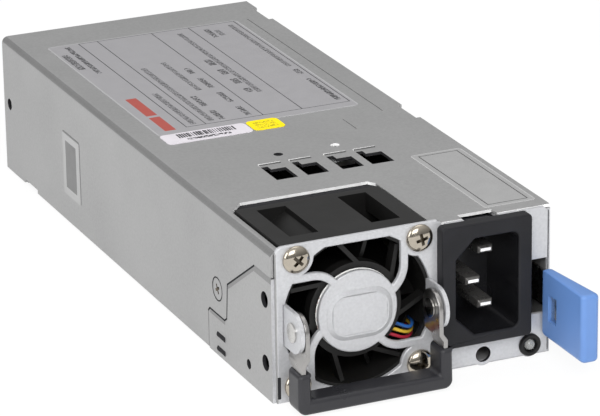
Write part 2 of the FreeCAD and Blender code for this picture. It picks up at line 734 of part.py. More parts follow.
def fan_stator():
    """Wound iron core that sits on the bearing tube inside the hub."""
    start = panel_back + 3.4
    core = rod("stator_core", "y", (fan_x, start, fan_level), fan_hub - stator_inset, stator_long)
    hole = rod("stator_bore", "y", (fan_x, start - 1, fan_level), bearing_radius + 0.8, stator_long + 2)
    slots = []
    for number in range(4):
        across, up = around_fan(fan_hub - 3.4, 45 + 90 * number)
        slots.append(rod("stator_slot_%d" % number, "y", (across, start - 1, up), 2.0, stator_long + 2))
    return node("fan_stator", cut("stator_wound", core, hole, *slots))


def fan_rotor():
    """Hub cup and five twisted blades: a revolution, one lofted blade and a polar pattern."""
    body = doc.addObject("PartDesign::Body", "rotor_body")
    place(body, (fan_x, panel_back + 3.9, fan_level))
    cup_long = fan_deep - 6.4
    cup = body_sketch(body, "cup_section", "YZ", 0, [
        (0, fan_hub - cup_gauge), (0, fan_hub), (cup_long, fan_hub), (cup_long, shaft_radius),
        (cup_long - 7.0, shaft_radius), (cup_long - 7.0, 3.6), (cup_long - 1.6, 3.6),
        (cup_long - 1.6, fan_hub - cup_gauge)])
    turned = body.newObject("PartDesign::Revolution", "hub_cup")
    turned.Profile = cup
    turned.ReferenceAxis = (cup, ["H_Axis"])
    turned.Angle = 360
    sections = []
    blade_long = cup_long - 2.4
    for number in range(4):
        share = number / 3
        section = body_sketch(body, "blade_section_%d" % number, "XZ", -(blade_long * share + 1.2), [
            (fan_hub - 0.4, -0.55), (fan_bore - blade_gap, -0.45), (fan_bore - blade_gap, 0.45),
            (fan_hub - 0.4, 0.55)])
        section.AttachmentOffset = FreeCAD.Placement(section.AttachmentOffset.Base,
                                                     Rotation(Vector(0, 0, 1), 46 * share))
        bind(section, "AttachmentOffset.Base.z", -(blade_long * share + 1.2))
        sections.append(section)
    blade = body.newObject("PartDesign::AdditiveLoft", "blade")
    blade.Profile = sections[0]
    blade.Sections = sections[1:]
    blade.Ruled = True
    blades = body.newObject("PartDesign::PolarPattern", "blades")
    blades.Originals = [blade]
    blades.Axis = (sections[0], ["N_Axis"])
    blades.Angle = 360
    blades.Occurrences = 5
    body.Tip = blades
    return node("fan_rotor", body)


def rotor_magnet():
    ring = rod("magnet_ring", "y", (fan_x, panel_back + 4.6, fan_level), fan_hub - cup_gauge, magnet_long)
    hole = rod("magnet_bore", "y", (fan_x, panel_back + 4.0, fan_level), fan_hub - cup_gauge - magnet_gauge,
               magnet_long + 2)
    return node("rotor_magnet", cut("magnet", ring, hole))


def fan_shaft():
    start = panel_back + 3.0
    return node("fan_shaft", rod("shaft", "y", (fan_x, start, fan_level), shaft_radius,
                                 panel_back + 3.9 + fan_deep - 6.4 - start))


def fan_screws():
    """Four pan head screws through the guard into the fan's corners."""
    screws = []
    for number, (across, up) in enumerate(fan_corners(fan_pitch)):
        shank = rod("screw_shank_%d" % number, "y", (across, front - 0.1, up), fan_screw, 9.5)
        rim = rod("screw_rim_%d" % number, "y", (across, front - 0.8, up), 3.45, 0.8)
        dome = cone("screw_dome_%d" % number, "y", (across, front - 1.7, up), 2.2, 3.4, 0.9)
        screws.append(fuse("fan_screw_%d" % number, shank, rim, dome))
    return node("fan_screws", group("fan_screw_set", *screws))


# --------------------------------------------------------------------------
# The handle
# --------------------------------------------------------------------------

def handle_bail():
    """Flat steel strip bent to a U, with joggled arms and rounded eyes."""
    inner = ear_span / 2 - arm_gap - arm_gauge
    outer = ear_span / 2 - arm_gap
    step = ear_gauge + 0.1
    top = pivot_level + arm_round + 0.1
    foot = grip_foot + 1.2
    joggle = pivot_level - ear_round - 0.4
    strip = [
        (fan_x - outer, top), (fan_x - outer, joggle), (fan_x - outer - step, joggle - 1.6),
        (fan_x - outer - step, foot), (fan_x + outer + step, foot), (fan_x + outer + step, joggle - 1.6),
        (fan_x + outer, joggle), (fan_x + outer, top), (fan_x + inner, top), (fan_x + inner, joggle - 0.4),
        (fan_x + inner + step, joggle - 2.0), (fan_x + inner + step, foot + arm_gauge),
        (fan_x - inner - step, foot + arm_gauge), (fan_x - inner - step, joggle - 2.0),
        (fan_x - inner, joggle - 0.4), (fan_x - inner, top)]
    bent = prism("bail_strip", "XZ", strip, pivot_y - 8, front)
    eye = rod("bail_eye", "x", (fan_x - ear_span / 2, pivot_y, pivot_level), arm_round, ear_span)
    side = prism("bail_side", "YZ", [
        (pivot_y - arm_round, pivot_level), (pivot_y - arm_round, 0), (grip_back - 0.7, 0),
        (grip_back - 0.7, grip_foot + grip_high - 0.6), (pivot_y + arm_round - 1.1, pivot_level - 6.8),
        (pivot_y + arm_round, pivot_level)], fan_x - ear_span / 2 - 4, fan_x + ear_span / 2 + 4)
    shape = common("bail_shape", bent, fuse("bail_profile", eye, side))
    holes = rod("bail_holes", "x", (fan_x - ear_span / 2 - 1, pivot_y, pivot_level),
                rivet_radius + rivet_fit, ear_span + 2)
    return node("handle_bail", cut("bail_finished", shape, holes))


def handle_grip(bail):
    """Overmoulded finger grip round the lower half of the bail."""
    outer = grip_wide / 2
    inner = outer - grip_leg
    top = grip_foot + grip_high
    bar = grip_foot + grip_bar
    ring = [(fan_x - outer, grip_foot), (fan_x + outer, grip_foot), (fan_x + outer, top), (fan_x + inner, top),
            (fan_x + inner, bar), (fan_x - inner, bar), (fan_x - inner, top), (fan_x - outer, top)]
    block = prism("grip_block", "XZ", ring, grip_back - grip_deep, grip_back)
    soft = round_edges("grip_corners", block, 2.2, lambda edge: runs_along(edge, "y")
                       and edge.CenterOfMass.z < grip_foot.value + 0.01)
    return node("handle_grip", cut("grip_moulding", soft, bail))


def ear_rivets():
    """Shouldered rivets that the handle turns on."""
    rivets = []
    reach = ear_gauge + arm_gap + arm_gauge + 0.15
    for name, sign in (("left", -1), ("right", 1)):
        low_x, high_x = ordered(fan_x + sign * (ear_span / 2 + ear_gauge),
                                fan_x + sign * (ear_span / 2 + ear_gauge - reach))
        shank = rod("rivet_shank_" + name, "x", (low_x - 0.4, pivot_y, pivot_level), rivet_radius,
                    high_x - low_x + 0.8)
        first = rod("rivet_first_" + name, "x", (low_x - 0.4, pivot_y, pivot_level), rivet_head, 0.4)
        second = rod("rivet_second_" + name, "x", (high_x, pivot_y, pivot_level), rivet_head, 0.4)
        rivets.append(fuse("ear_rivet_" + name, shank, first, second))
    return node("ear_rivets", group("ear_rivet_pair", *rivets))


# --------------------------------------------------------------------------
# The mains inlet and the indicator
# --------------------------------------------------------------------------

def pin_places():
    """Name, x, z and tip of each blade; the earth blade stands out further."""
    line_x = inlet_x + pin_step / 2
    return (("line", line_x, socket_level + pin_pitch / 2, front + 2.0),
            ("neutral", line_x, socket_level - pin_pitch / 2, front + 2.0),
            ("earth", line_x - pin_step, socket_level, front + 0.6))


def pin_block(name, across, up, start, end):
    return box(name, (across - pin_wide / 2, start, up - pin_thick / 2),
               (across + pin_wide / 2, end, up + pin_thick / 2))


def inlet_housing():
    """Moulded appliance inlet on end: flange, keyed socket, neck and snap ridges."""
    face = front - inlet_proud
    back = face + inlet_deep
    flange = box("inlet_flange", (inlet_x - inlet_wide / 2, face, inlet_level - inlet_high / 2),
                 (inlet_x + inlet_wide / 2, front, inlet_level + inlet_high / 2))
    flange = round_edges("inlet_flange_soft", flange, 1.2, lambda edge: runs_along(edge, "y"))
    neck = box("inlet_neck", (inlet_x - neck_wide / 2, front - 1, inlet_level - neck_high / 2),
               (inlet_x + neck_wide / 2, back, inlet_level + neck_high / 2))
    half_wide = socket_wide / 2
    half_high = socket_high / 2
    mouth = prism("socket_shape", "XZ", [
        (inlet_x - half_wide, socket_level - half_high + socket_key),
        (inlet_x - half_wide + socket_key, socket_level - half_high),
        (inlet_x + half_wide, socket_level - half_high),
        (inlet_x + half_wide, socket_level + half_high),
        (inlet_x - half_wide + socket_key, socket_level + half_high),
        (inlet_x - half_wide, socket_level + half_high - socket_key)], face - 1, face + socket_deep)
    mouth = round_edges("socket_rounded", mouth, 1.8, lambda edge: runs_along(edge, "y")
                        and edge.CenterOfMass.x > (inlet_x + half_wide).value - 0.01)
    ridges = [prism("snap_ridge_%d" % number, "YZ", [
        (panel_back + seam_gap, inlet_level + sign * neck_high / 2),
        (panel_back + seam_gap, inlet_level + sign * (neck_high / 2 + 0.9)),
        (panel_back + 5, inlet_level + sign * neck_high / 2)],
        inlet_x - 3, inlet_x + 3) for number, sign in enumerate((1, -1))]
    slots = [pin_block("pin_seat_" + name, across, up, face + socket_deep - 1, back + 1)
             for name, across, up, tip in pin_places()]
    body = fuse("inlet_body", flange, neck, *ridges)
    return node("inlet_housing", cut("inlet_finished", body, mouth, *slots))


def inlet_pins():
    """Three blades with bevelled tips and solder tails behind the housing."""
    back = front - inlet_proud + inlet_deep
    for name, across, up, tip in pin_places():
        blade = pin_block("blade_" + name, across, up, tip, back)
        tail = box("tail_" + name, (across - 1.2, back - 0.5, up - 0.4), (across + 1.2, back + 5, up + 0.4))
        bar = fuse("blade_tail_" + name, blade, tail)
        doc.recompute()
        bevel = doc.addObject("Part::Chamfer", "blade_bevel_" + name)
        bevel.Base = bar
        bevel.Edges = [(n + 1, 0.6, 0.6) for n, edge in enumerate(bar.Shape.Edges)
                       if max(v.Point.y for v in edge.Vertexes) < tip.value + 1e-6]
        node("inlet_pin_" + name, bevel)


def indicator():
    """Round holder and clear lamp in the panel's lower right corner."""
    collar = rod("led_collar", "y", (led_x, front - 0.9, led_level), led_holder_radius, 0.9)
    sleeve = rod("led_sleeve", "y", (led_x, front - 0.5, led_level), led_holder_radius - 0.75, 6.0)
    bore = rod("led_bore", "y", (led_x, front - 2, led_level), led_radius + 0.05, 10)
    node("led_holder", cut("led_holder_body", fuse("led_holder_blank", collar, sleeve), bore))
    barrel = rod("led_barrel", "y", (led_x, front - 0.4, led_level), led_radius, 6.2)
    dome = cone("led_dome", "y", (led_x, front - 1.2, led_level), 0.7, led_radius, 0.8)
    rim = rod("led_rim", "y", (led_x, front + 5.6, led_level), led_radius + 0.35, 0.9)
    node("status_led", fuse("led_lamp", barrel, dome, rim))


# --------------------------------------------------------------------------
# The release latch
# --------------------------------------------------------------------------

def latch_leaf():
    """Spring steel strip with a bent locking tooth and a wider head inside the tab."""
    low_z = latch_level - latch_high / 2
    high_z = latch_level + latch_high / 2
    strip = box("leaf_strip", (latch_x - latch_gauge / 2, front - 5, low_z),
                (latch_x + latch_gauge / 2, latch_root_y, high_z))
    head = box("leaf_head", (latch_x - latch_gauge / 2, front - tab_long + 6, tab_level - 5.6),
               (latch_x + latch_gauge / 2, front - 2.5, tab_level + 6.4))
    reach = right + tooth_reach
    outer = latch_x + latch_gauge / 2
    tooth = prism("leaf_tooth", "XY", [
        (outer - latch_gauge / 2, front + 20.2), (reach, front + 14.2), (reach, front + 12.8),
        (reach - latch_gauge, front + 12.8), (reach - latch_gauge, front + 13.8),
        (outer - latch_gauge / 2, front + 18.8)], latch_level - 3.8, latch_level + 3.8)
    window = box("leaf_window", (latch_x - 2, front + 12.4, latch_level - 3.8),
                 (latch_x + 2, front + 18.6, latch_level + 3.8))
    return node("latch_leaf", fuse("leaf_bent", cut("leaf_lanced", fuse("leaf_flat", strip, head), window), tooth))


def latch_tab(leaf):
    """Moulded finger tab: flat inner face, flared outer face, a window on the leaf."""
    low_z = tab_level - tab_high / 2
    high_z = tab_level + tab_high / 2
    inner = latch_x - latch_gauge / 2 - 0.9
    wedge = prism("tab_wedge", "XY", [
        (inner, front - tab_gap), (inner + tab_thin, front - tab_gap), (inner + tab_thick, front - tab_long),
        (inner, front - tab_long)], low_z, high_z)
    tip = (front - tab_long).value
    soft = round_edges("tab_rounded", wedge, 1.4,
                       lambda edge: abs(edge.CenterOfMass.y - tip) < 0.01 and runs_along(edge, "z"))
    window = box("tab_window", (inner - 1, front - 8.8, tab_level - 3.7),
                 (latch_x - latch_gauge / 2, front - 4.6, tab_level + 3.1))
    return node("latch_tab", cut("tab_moulding", soft, window, leaf))


def latch_root():
    """The end of the strip that is riveted to the right wall, and its two rivets."""
    low_z = latch_level - latch_high / 2
    pad = box("root_pad", (latch_x - latch_gauge / 2, latch_root_y + seat_gap, low_z),
              (right - tray_gauge, latch_root_y + 12, low_z + latch_high))
    rivets = []
    seats = []
    for number, along in enumerate(rivet_places()):
        spot = (latch_x - latch_gauge / 2, along, latch_level)
        seats.append(rod("root_hole_%d" % number, "x", (spot[0] - 1, spot[1], spot[2]), latch_rivet, 6))
        head = rod("root_head_%d" % number, "x", (spot[0] - 0.7, spot[1], spot[2]), latch_rivet + 0.9, 0.7)
        shank = rod("root_shank_%d" % number, "x", (spot[0] - 0.2, spot[1], spot[2]), latch_rivet,
                    right - spot[0] + 0.2)
        rivets.append(fuse("root_rivet_%d" % number, head, shank))
    node("latch_root", cut("root_finished", pad, *seats))
    node("latch_rivets", group("root_rivet_pair", *rivets))


# --------------------------------------------------------------------------
# The electronics
# --------------------------------------------------------------------------

def main_board():
    """The power board, whose narrow rear edge is the output connector."""
    shoulder = rear - edge_setback
    tip = rear + edge_reach
    points = [(-board_wide / 2, board_front), (board_wide / 2, board_front), (board_wide / 2, shoulder),
              (edge_wide / 2, shoulder), (edge_wide / 2, tip), (key_high, tip), (key_high, rear + 1),
              (key_low, rear + 1), (key_low, tip),
              (-edge_wide / 2, tip), (-edge_wide / 2, shoulder), (-board_wide / 2, shoulder)]
    board = prism("board_blank", "XY", points, board_level, board_top)
    holes = [rod("board_hole_%d" % number, "z", (across, along, board_level - 1), 1.6, 4)
             for number, (across, along) in enumerate(standoff_places())]
    return node("main_board", cut("board_finished", board, *holes))


def standoff_places():
    return [(hand * (board_wide / 2 - 4), along) for hand in (-1, 1) for along in (board_front + 5, rear - 12)]


contact_gauge = size("contact_gauge", 0.1)


def edge_contacts():
    """Gold contact fingers on both faces of the board's edge."""
    pads = []
    for face, low_z in enumerate((board_top, board_level - contact_gauge)):
        for side, (low_x, high_x, count) in enumerate(((-edge_wide / 2, key_low, 10), (key_high, edge_wide / 2, 8))):
            pitch = (high_x - low_x) / count
            for number in range(count):
                pads.append(box("finger_%d_%d_%d" % (face, side, number),
                                (low_x + pitch * (number + 0.15), rear + 0.6, low_z),
                                (low_x + pitch * (number + 0.85), rear + edge_reach - 0.5, low_z + contact_gauge)))
    return node("edge_contacts", group("finger_set", *pads))


def standoffs():
    posts = []
    screws = []
    for number, (across, along) in enumerate(standoff_places()):
        post = rod("post_%d" % number, "z", (across, along, tray_gauge), 2.6, board_level - tray_gauge)
        bore = rod("post_bore_%d" % number, "z", (across, along, tray_gauge + 0.5), 1.5, 6)
        posts.append(cut("standoff_%d" % number, post, bore))
        head = rod("board_screw_head_%d" % number, "z", (across, along, board_top), 2.7, 1.7)
        shank = rod("board_screw_shank_%d" % number, "z", (across, along, board_level - 3), 1.45, board_thick + 3.2)
        screws.append(fuse("board_screw_%d" % number, head, shank))
    node("board_standoffs", group("standoff_set", *posts))
    node("board_screws", group("board_screw_set", *screws))


def insulating_sheet():
    """Film between the tray's floor and the board, pierced for the standoffs."""
    film = box("film_blank", (-board_wide / 2 + 0.6, board_front, tray_gauge),
               (board_wide / 2 - 0.6, rear - 2, tray_gauge + 0.4))
    holes = [rod("film_hole_%d" % number, "z", (across, along, 0), 3.0, 4)
             for number, (across, along) in enumerate(standoff_places())]
    return node("insulating_sheet", cut("film_pierced", film, *holes))


# the parts on the board: lengths run along the case, and places across it are shares of the board's width
part_gap = size("part_gap", 1.5)
head_room = size("head_room", 2.9)
winding_build = size("winding_build", 1.5)
choke_front = size("choke_front", 6.5)
choke_radius = size("choke_radius", 9.5)
choke_wall = size("choke_wall", 5.0)
choke_tall = size("choke_tall", 14.0)
boost_front = size("boost_front", 17.5)
boost_radius = size("boost_radius", 13.5)
boost_wall = size("boost_wall", 7.5)
boost_tall = size("boost_tall", 20.0)
filter_front = size("filter_front", 8.0)
filter_long = size("filter_long", 16.0)
filter_tall = size("filter_tall", 16.0)
fuse_front = size("fuse_front", 2.0)
fuse_radius = size("fuse_radius", 3.0)
fuse_long = size("fuse_long", 16.0)
relay_long = size("relay_long", 16.0)
relay_tall = size("relay_tall", 15.0)
resonant_tall = size("resonant_tall", 18.0)
driver_tall = size("driver_tall", 11.0)
sink_gauge = size("sink_gauge", 3.0)
sink_reach = size("sink_reach", 5.5)
sink_setback = size("sink_setback", 10.0)
rib_pitch = size("rib_pitch", 3.4)
rib_gauge = size("rib_gauge", 1.2)
device_thick = size("device_thick", 4.6)
device_foot = size("device_foot", 5.5)
device_tall = size("device_tall", 15.5)
leg_gauge = size("leg_gauge", 1.0)
core_setback = size("core_setback", 61.0)
core_long = size("core_long", 24.0)
core_leg = size("core_leg", 6.0)
core_limb = size("core_limb", 4.5)
winding_overhang = size("winding_overhang", 3.0)
can_radius = size("can_radius", 4.6)
can_tall = size("can_tall", 17.0)
can_setback = size("can_setback", 16.0)
can_pitch = size("can_pitch", 10.5)
card_gauge = size("card_gauge", 1.6)
card_inset = size("card_inset", 3.8)
card_setback = size("card_setback", 18.0)
card_long = size("card_long", 42.0)
chip_thick = size("chip_thick", 1.4)
chip_long = size("chip_long", 8.0)
output_sink_setback = size("output_sink_setback", 40.0)
output_sink_long = size("output_sink_long", 24.0)
header_long = size("header_long", 5.0)
header_tall = size("header_tall", 7.5)

room_high = ceiling - board_top - head_room
input_end = board_front + choke_front + 2 * choke_radius
boost_end = board_front + boost_front + 2 * boost_radius
relay_end = input_end + part_gap + relay_long
core_start = rear - core_setback
sink_start = input_end + 0.5
sink_end = core_start - winding_overhang - sink_setback


def brick(label, middle, start, wide, long, tall):
    """A boxed part that stands on the board."""
    return node(label, box(label + "_block", (middle - wide / 2, start, board_top),
                           (middle + wide / 2, start + long, board_top + tall)))


def toroid(label, across, along, radius, thick, tall):
    """A wound ring that lies on the board: the core shows in the eye of the winding."""
    winding = rod(label + "_coil", "z", (across, along, board_top), radius, tall)
    eye = rod(label + "_eye", "z", (across, along, board_top - 1), radius - thick, tall + 2)
    groove = rod(label + "_core_seat", "z", (across, along, board_top + winding_build), radius - winding_build,
                 tall - 2 * winding_build)
    spare = rod(label + "_core_hole", "z", (across, along, board_top + 1), radius - thick + winding_build, tall - 2)
    core = cut(label + "_core_ring", groove, spare)
    node(label + "_winding", cut(label + "_wound", winding, eye, core))
    node(label + "_core", core)


def heatsink(label, across, start, end):
    """Upright plate on the board with five ribs on one face."""
    top = ceiling - head_room + 0.4
    plate = box(label + "_plate", (across - sink_gauge / 2, start, board_top), (across + sink_gauge / 2, end, top))
    ribs = []
    for number in range(5):
        up = top - rib_pitch * number
        ribs.append(box("%s_rib_%d" % (label, number), (across, start, up - rib_gauge),
                        (across + sink_gauge / 2 + sink_reach, end, up)))
    return node(label, fuse(label + "_profile", plate, *ribs))


def clamped_device(name, face, start, long, legs):
    """A power device against a heatsink's face, on legs soldered in the board."""
    foot = board_top + device_foot
    body = box(name + "_body", (face - device_thick, start, foot), (face, start + long, foot + device_tall))
    feet = [box("%s_leg_%d" % (name, number),
                (face - device_thick / 2 - leg_gauge, start + long * (number + 0.4) / legs, board_top),
                (face - device_thick / 2, start + long * (number + 0.4) / legs + leg_gauge, foot + 0.5))
            for number in range(legs)]
    return fuse(name, body, *feet)


def input_side():
    """Choke, filter capacitor, fuse and relay behind the inlet."""
    toroid("line_choke", board_wide * 0.279, board_front + choke_front + choke_radius, choke_radius, choke_wall,
           choke_tall)
    brick("filter_capacitor", board_wide * 0.044, board_front + filter_front, board_wide * 0.147, filter_long,
          filter_tall)
    node("input_fuse", rod("fuse_tube", "y", (board_wide * -0.103, board_front + fuse_front, board_top + fuse_radius),
                           fuse_radius, fuse_long))
    brick("relay", board_wide * 0.353, input_end + part_gap, board_wide * 0.176, relay_long, relay_tall)


def primary_side():
    """Boost choke, bulk capacitor and the switching devices on their heatsink."""
    toroid("boost_choke", board_wide * -0.279, board_front + boost_front + boost_radius, boost_radius, boost_wall,
           boost_tall)
    start = boost_end + part_gap
    radius = room_high / 2
    node("bulk_capacitor", rod("bulk_can", "y", (board_wide * -0.279, start, board_top + radius), radius,
                               core_start - winding_overhang - 2 - start))
    middle = board_wide * 0.0735
    heatsink("primary_heatsink", middle, sink_start, sink_end)
    face = middle - sink_gauge / 2
    long = sink_end - sink_start
    node("bridge_rectifier", clamped_device("rectifier", face, sink_start + long * 0.08, long * 0.38, 4))
    switches = [clamped_device("switch_%d" % number, face, sink_start + long * (0.54 + 0.23 * number), long * 0.19, 3)
                for number in range(2)]
    node("power_switches", group("switch_pair", *switches))
    room = core_start - relay_end
    brick("resonant_choke", board_wide * 0.368, relay_end + room * 0.08, board_wide * 0.206, room * 0.38,
          resonant_tall)
    brick("driver_transformer", board_wide * 0.368, relay_end + room * 0.56, board_wide * 0.176, room * 0.25,
          driver_tall)


def transformer():
    """Ferrite frame round a winding that shows at both ends."""
    half = board_wide * 0.206
    top = board_top + room_high - 1
    core = box("core_block", (-half, core_start, board_top), (half, core_start + core_long, top))
    low = (core_limb - half, core_start - winding_overhang, board_top + core_leg)
    high = (half - core_limb, core_start + core_long + winding_overhang, top - core_leg)
    node("transformer_core", cut("core_frame", core, box("core_window", low, high)))
    node("transformer_winding", round_edges("winding_soft", box("winding_block", low, high), 2.5,
                                            lambda edge: runs_along(edge, "y")))


def output_side():
    """Output capacitors, the control card with its chips, and the output heatsink."""
    caps = []
    for row in range(2):
        for column in range(-2, 3):
            caps.append(rod("output_can_%d_%d" % (row, column + 2), "z",
                            (board_wide * 0.154 * column, rear - can_setback - can_pitch * row, board_top),
                            can_radius, can_tall))
    node("output_capacitors", group("output_can_set", *caps))
    face = board_wide / 2 - card_inset - card_gauge
    end = rear - card_setback
    node("control_card", box("card_blank", (face, end - card_long, board_top),
                             (face + card_gauge, end, board_top + room_high - 2)))
    chips = []
    for number in range(3):
        start = end - card_long + chip_long / 2 + chip_long * 1.5 * number
        chips.append(box("card_chip_%d" % number, (face - chip_thick, start, board_top + 8),
                         (face, start + chip_long, board_top + 8 + chip_long)))
    node("control_chips", group("chip_set", *chips))
    end = rear - output_sink_setback
    heatsink("output_heatsink", board_wide * -0.4265, end - output_sink_long, end)


def fan_header():
    """Upright socket on the board for the fan's three leads."""
    block = box("header_block", (header_x - header_long / 2, header_y, board_top),
                (header_x + header_long / 2, header_y + header_long, board_top + header_tall))
    sockets = [rod("header_hole_%d" % number, "y", (header_x, header_y - 1, up), fan_lead_radius + 0.05, 3)
               for number, up in enumerate(lead_levels())]
    return node("fan_header", cut("header_body", block, *sockets))


# --------------------------------------------------------------------------
# Leads
# --------------------------------------------------------------------------

def tube(label, points, radius):
    """A wire of round section along straight runs joined by tangent arcs."""
    spots = [Vector(*[Size.of(v).value for v in point]) for point in points]
    edges = []
    start = spots[0]
    for before, corner, after in zip(spots, spots[1:], spots[2:]):
        way_in = (corner - before).normalize()
        way_out = (after - corner).normalize()
        half_turn = way_in.getAngle(way_out) / 2
        room = 0.45 * min((corner - before).Length, (after - corner).Length)
        bend = room / math.tan(half_turn)
        first = corner - way_in * room
        last = corner + way_out * room
        bisector = (way_out - way_in).normalize()
        middle = corner + bisector * (bend / math.cos(half_turn) - bend)
        edges.append(Part.LineSegment(start, first).toShape())
        edges.append(Part.Arc(first, middle, last).toShape())
        start = last
    edges.append(Part.LineSegment(start, spots[-1]).toShape())
    path = Part.Wire(edges)
    section = Part.Wire([Part.Circle(spots[0], (spots[1] - spots[0]).normalize(), radius.value).toShape()])
    wire = doc.addObject("Part::Feature", label + "_wire")
    wire.Shape = path.makePipeShell([section], True, False)
    error = wire.Shape.Volume / (math.pi * radius.value ** 2 * path.Length) - 1
    if abs(error) > 0.01:
        raise RuntimeError("%s has the wrong volume, off by %.3f" % (label, error))
    return node(label, wire)


def lead_levels():
    """The heights at which the fan's three leads enter the upright header, from the top."""
    return [board_top + up for up in (5.4, 3.4, 1.4)]


def fan_leads():
    """Three thin wires from the motor base through the frame's slot to the header on the board."""
    wall_x = fan_x + fan_side / 2 - 1.1
    for number, (name, end_level) in enumerate(zip(("blue", "yellow", "red"), lead_levels())):
        up = fan_level - 8.1 - 1.3 * number
        tube("fan_lead_" + name, [
            (fan_x + motor_base * 0.908 - 0.9 * number, panel_back + 1.9,
             fan_level - motor_base * 0.492 - 1.2 * number),
            (fan_x + 15.2 - 0.5 * number, panel_back + 2.0, up),
            (wall_x, panel_back + 6.5, up),
            (wall_x, panel_back + fan_deep + 1.5, up),
            (header_x, header_y - 2.5, end_level),
            (header_x, header_y + 1.5, end_level)], fan_lead_radius)


def inlet_leads():
    """Insulated leads from the inlet's tails down to the board."""
    back = front - inlet_proud + inlet_deep + 5
    drops = {"line": (board_wide / 2 - 9, 5.0), "neutral": (board_wide * 0.294, 3.0),
             "earth": (board_wide * 0.213, 4.0)}
    for name, across, up, tip in pin_places():
        end_x, sag = drops[name]
        tube("inlet_lead_" + name, [
            (across, back, up), (across, back + 7, up),
            (end_x, board_front + 3, up - sag),
            (end_x, board_front + 3, board_top)], inlet_lead_radius)


# --------------------------------------------------------------------------
# Build, check and write
# --------------------------------------------------------------------------

def case_screw():
    """Flat head screw that holds the cover to the tray's cheek."""
    head = cone("case_head", "x", (left, screw_y, screw_level), 3.0, 1.6, cover_gauge)
    shank = rod("case_shank", "x", (left + 0.2, screw_y, screw_level), 1.5, 4.5)
    return node("case_screws", fuse("case_screw", head, shank))


def build():
    base_tray()
    top_cover()
    front_panel()
    rear_panel()
    fan_guard()
    fan_frame()
    fan_bearing()
    fan_stator()
    fan_rotor()
    rotor_magnet()
    fan_shaft()
    fan_screws()
    bail = handle_bail()
    handle_grip(bail)
    ear_rivets()
    inlet_housing()
    inlet_pins()
    indicator()
    leaf = latch_leaf()
    latch_tab(leaf)
    latch_root()
    main_board()
    edge_contacts()
    standoffs()
    insulating_sheet()
    input_side()
    primary_side()
    transformer()
    output_side()
    fan_header()
    fan_leads()
    inlet_leads()
    case_screw()


def check():
    doc.recompute()
    for thing in doc.Objects:
        if "Invalid" in thing.State or "Error" in thing.State:
            raise RuntimeError("%s failed: %s" % (thing.Label, thing.State))
    for part in PARTS:
        if part.Shape.isNull() or not part.Shape.isValid() or part.Shape.Volume <= 0:
            raise RuntimeError("bad shape in " + part.Label)


def write():
    os.makedirs("parts", exist_ok=True)
    for part in PARTS:
        part.Shape.exportStep("parts/%s.step" % part.Label)
        print(part.Label, len(part.Shape.Solids), round(part.Shape.Volume, 1))


build()
check()
write()
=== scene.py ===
"""Finishes, labels and small hardware for a hot swap server power supply."""
import contextlib
import json
import math

import bmesh
import bpy
from bpy.props import FloatProperty, FloatVectorProperty, PointerProperty
from mathutils import Euler, Matrix, Vector


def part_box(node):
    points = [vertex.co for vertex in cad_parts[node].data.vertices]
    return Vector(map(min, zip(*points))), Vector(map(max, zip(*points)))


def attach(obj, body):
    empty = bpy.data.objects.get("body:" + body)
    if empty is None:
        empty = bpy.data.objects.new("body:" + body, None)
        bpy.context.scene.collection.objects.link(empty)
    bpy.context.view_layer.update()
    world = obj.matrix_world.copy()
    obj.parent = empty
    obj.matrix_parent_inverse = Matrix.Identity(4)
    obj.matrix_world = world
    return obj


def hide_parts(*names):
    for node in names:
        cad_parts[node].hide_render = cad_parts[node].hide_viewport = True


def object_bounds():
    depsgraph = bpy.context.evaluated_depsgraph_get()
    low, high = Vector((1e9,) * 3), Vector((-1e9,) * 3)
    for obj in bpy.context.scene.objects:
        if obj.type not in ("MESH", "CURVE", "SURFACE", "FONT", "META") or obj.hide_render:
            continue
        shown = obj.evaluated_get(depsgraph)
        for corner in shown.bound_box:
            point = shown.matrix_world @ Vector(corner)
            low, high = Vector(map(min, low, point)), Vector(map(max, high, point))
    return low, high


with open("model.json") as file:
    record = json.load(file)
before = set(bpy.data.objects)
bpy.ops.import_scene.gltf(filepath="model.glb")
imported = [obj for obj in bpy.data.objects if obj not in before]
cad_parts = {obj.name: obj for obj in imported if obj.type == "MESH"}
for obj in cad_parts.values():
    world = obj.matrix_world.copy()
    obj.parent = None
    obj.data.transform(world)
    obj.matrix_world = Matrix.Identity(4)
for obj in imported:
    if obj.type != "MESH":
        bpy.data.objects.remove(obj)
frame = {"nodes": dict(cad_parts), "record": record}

bl_info = {
    "name": "Server power supply dressing",
    "version": (1, 0, 0),
    "blender": (4, 5, 0),
    "location": "3D Viewport > Sidebar > Supply",
    "description": "Adds finishes, labels and fasteners to the packed power supply model",
    "category": "Object",
}

CAD_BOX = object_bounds()
MM = 0.001
X, Y, Z = 0, 1, 2

CASE_LOW, CASE_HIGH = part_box("top_cover")
PANEL_LOW, PANEL_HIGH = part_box("front_panel")
FAN_LOW, FAN_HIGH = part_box("fan_frame")
GUARD_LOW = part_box("fan_guard")[0]
TRAY_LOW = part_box("base_tray")[0]
PANEL_HOLE = next(entry["pos_m"] for entry in frame["record"]["mounts"]
                  if entry["name"] == "panel_screw_hole")

FRONT = PANEL_LOW.y               # front face of the fan guard and of the inlet panel
ROOF = PANEL_HIGH.z + 0.1 * MM    # top of the cover's flat sheet
FAN_X = (FAN_LOW.x + FAN_HIGH.x) / 2
FAN_Z = (FAN_LOW.z + FAN_HIGH.z) / 2

SCREW_SQUARE = 32 * MM            # between the screws of a 38 mm fan
BROKEN_EDGE = 0.14 * MM           # bevel left on a punched sheet
SKIN = 0.02 * MM                  # how far a flat mark stands off the face under it
TOUCH = 0.01 * MM                 # within this, a point lies at a level


# ---- Settings ----

def length(name, text, millimetres):
    """A length that a user can change."""
    return FloatProperty(name=name, description=text, default=millimetres * MM, unit="LENGTH",
                         precision=5)


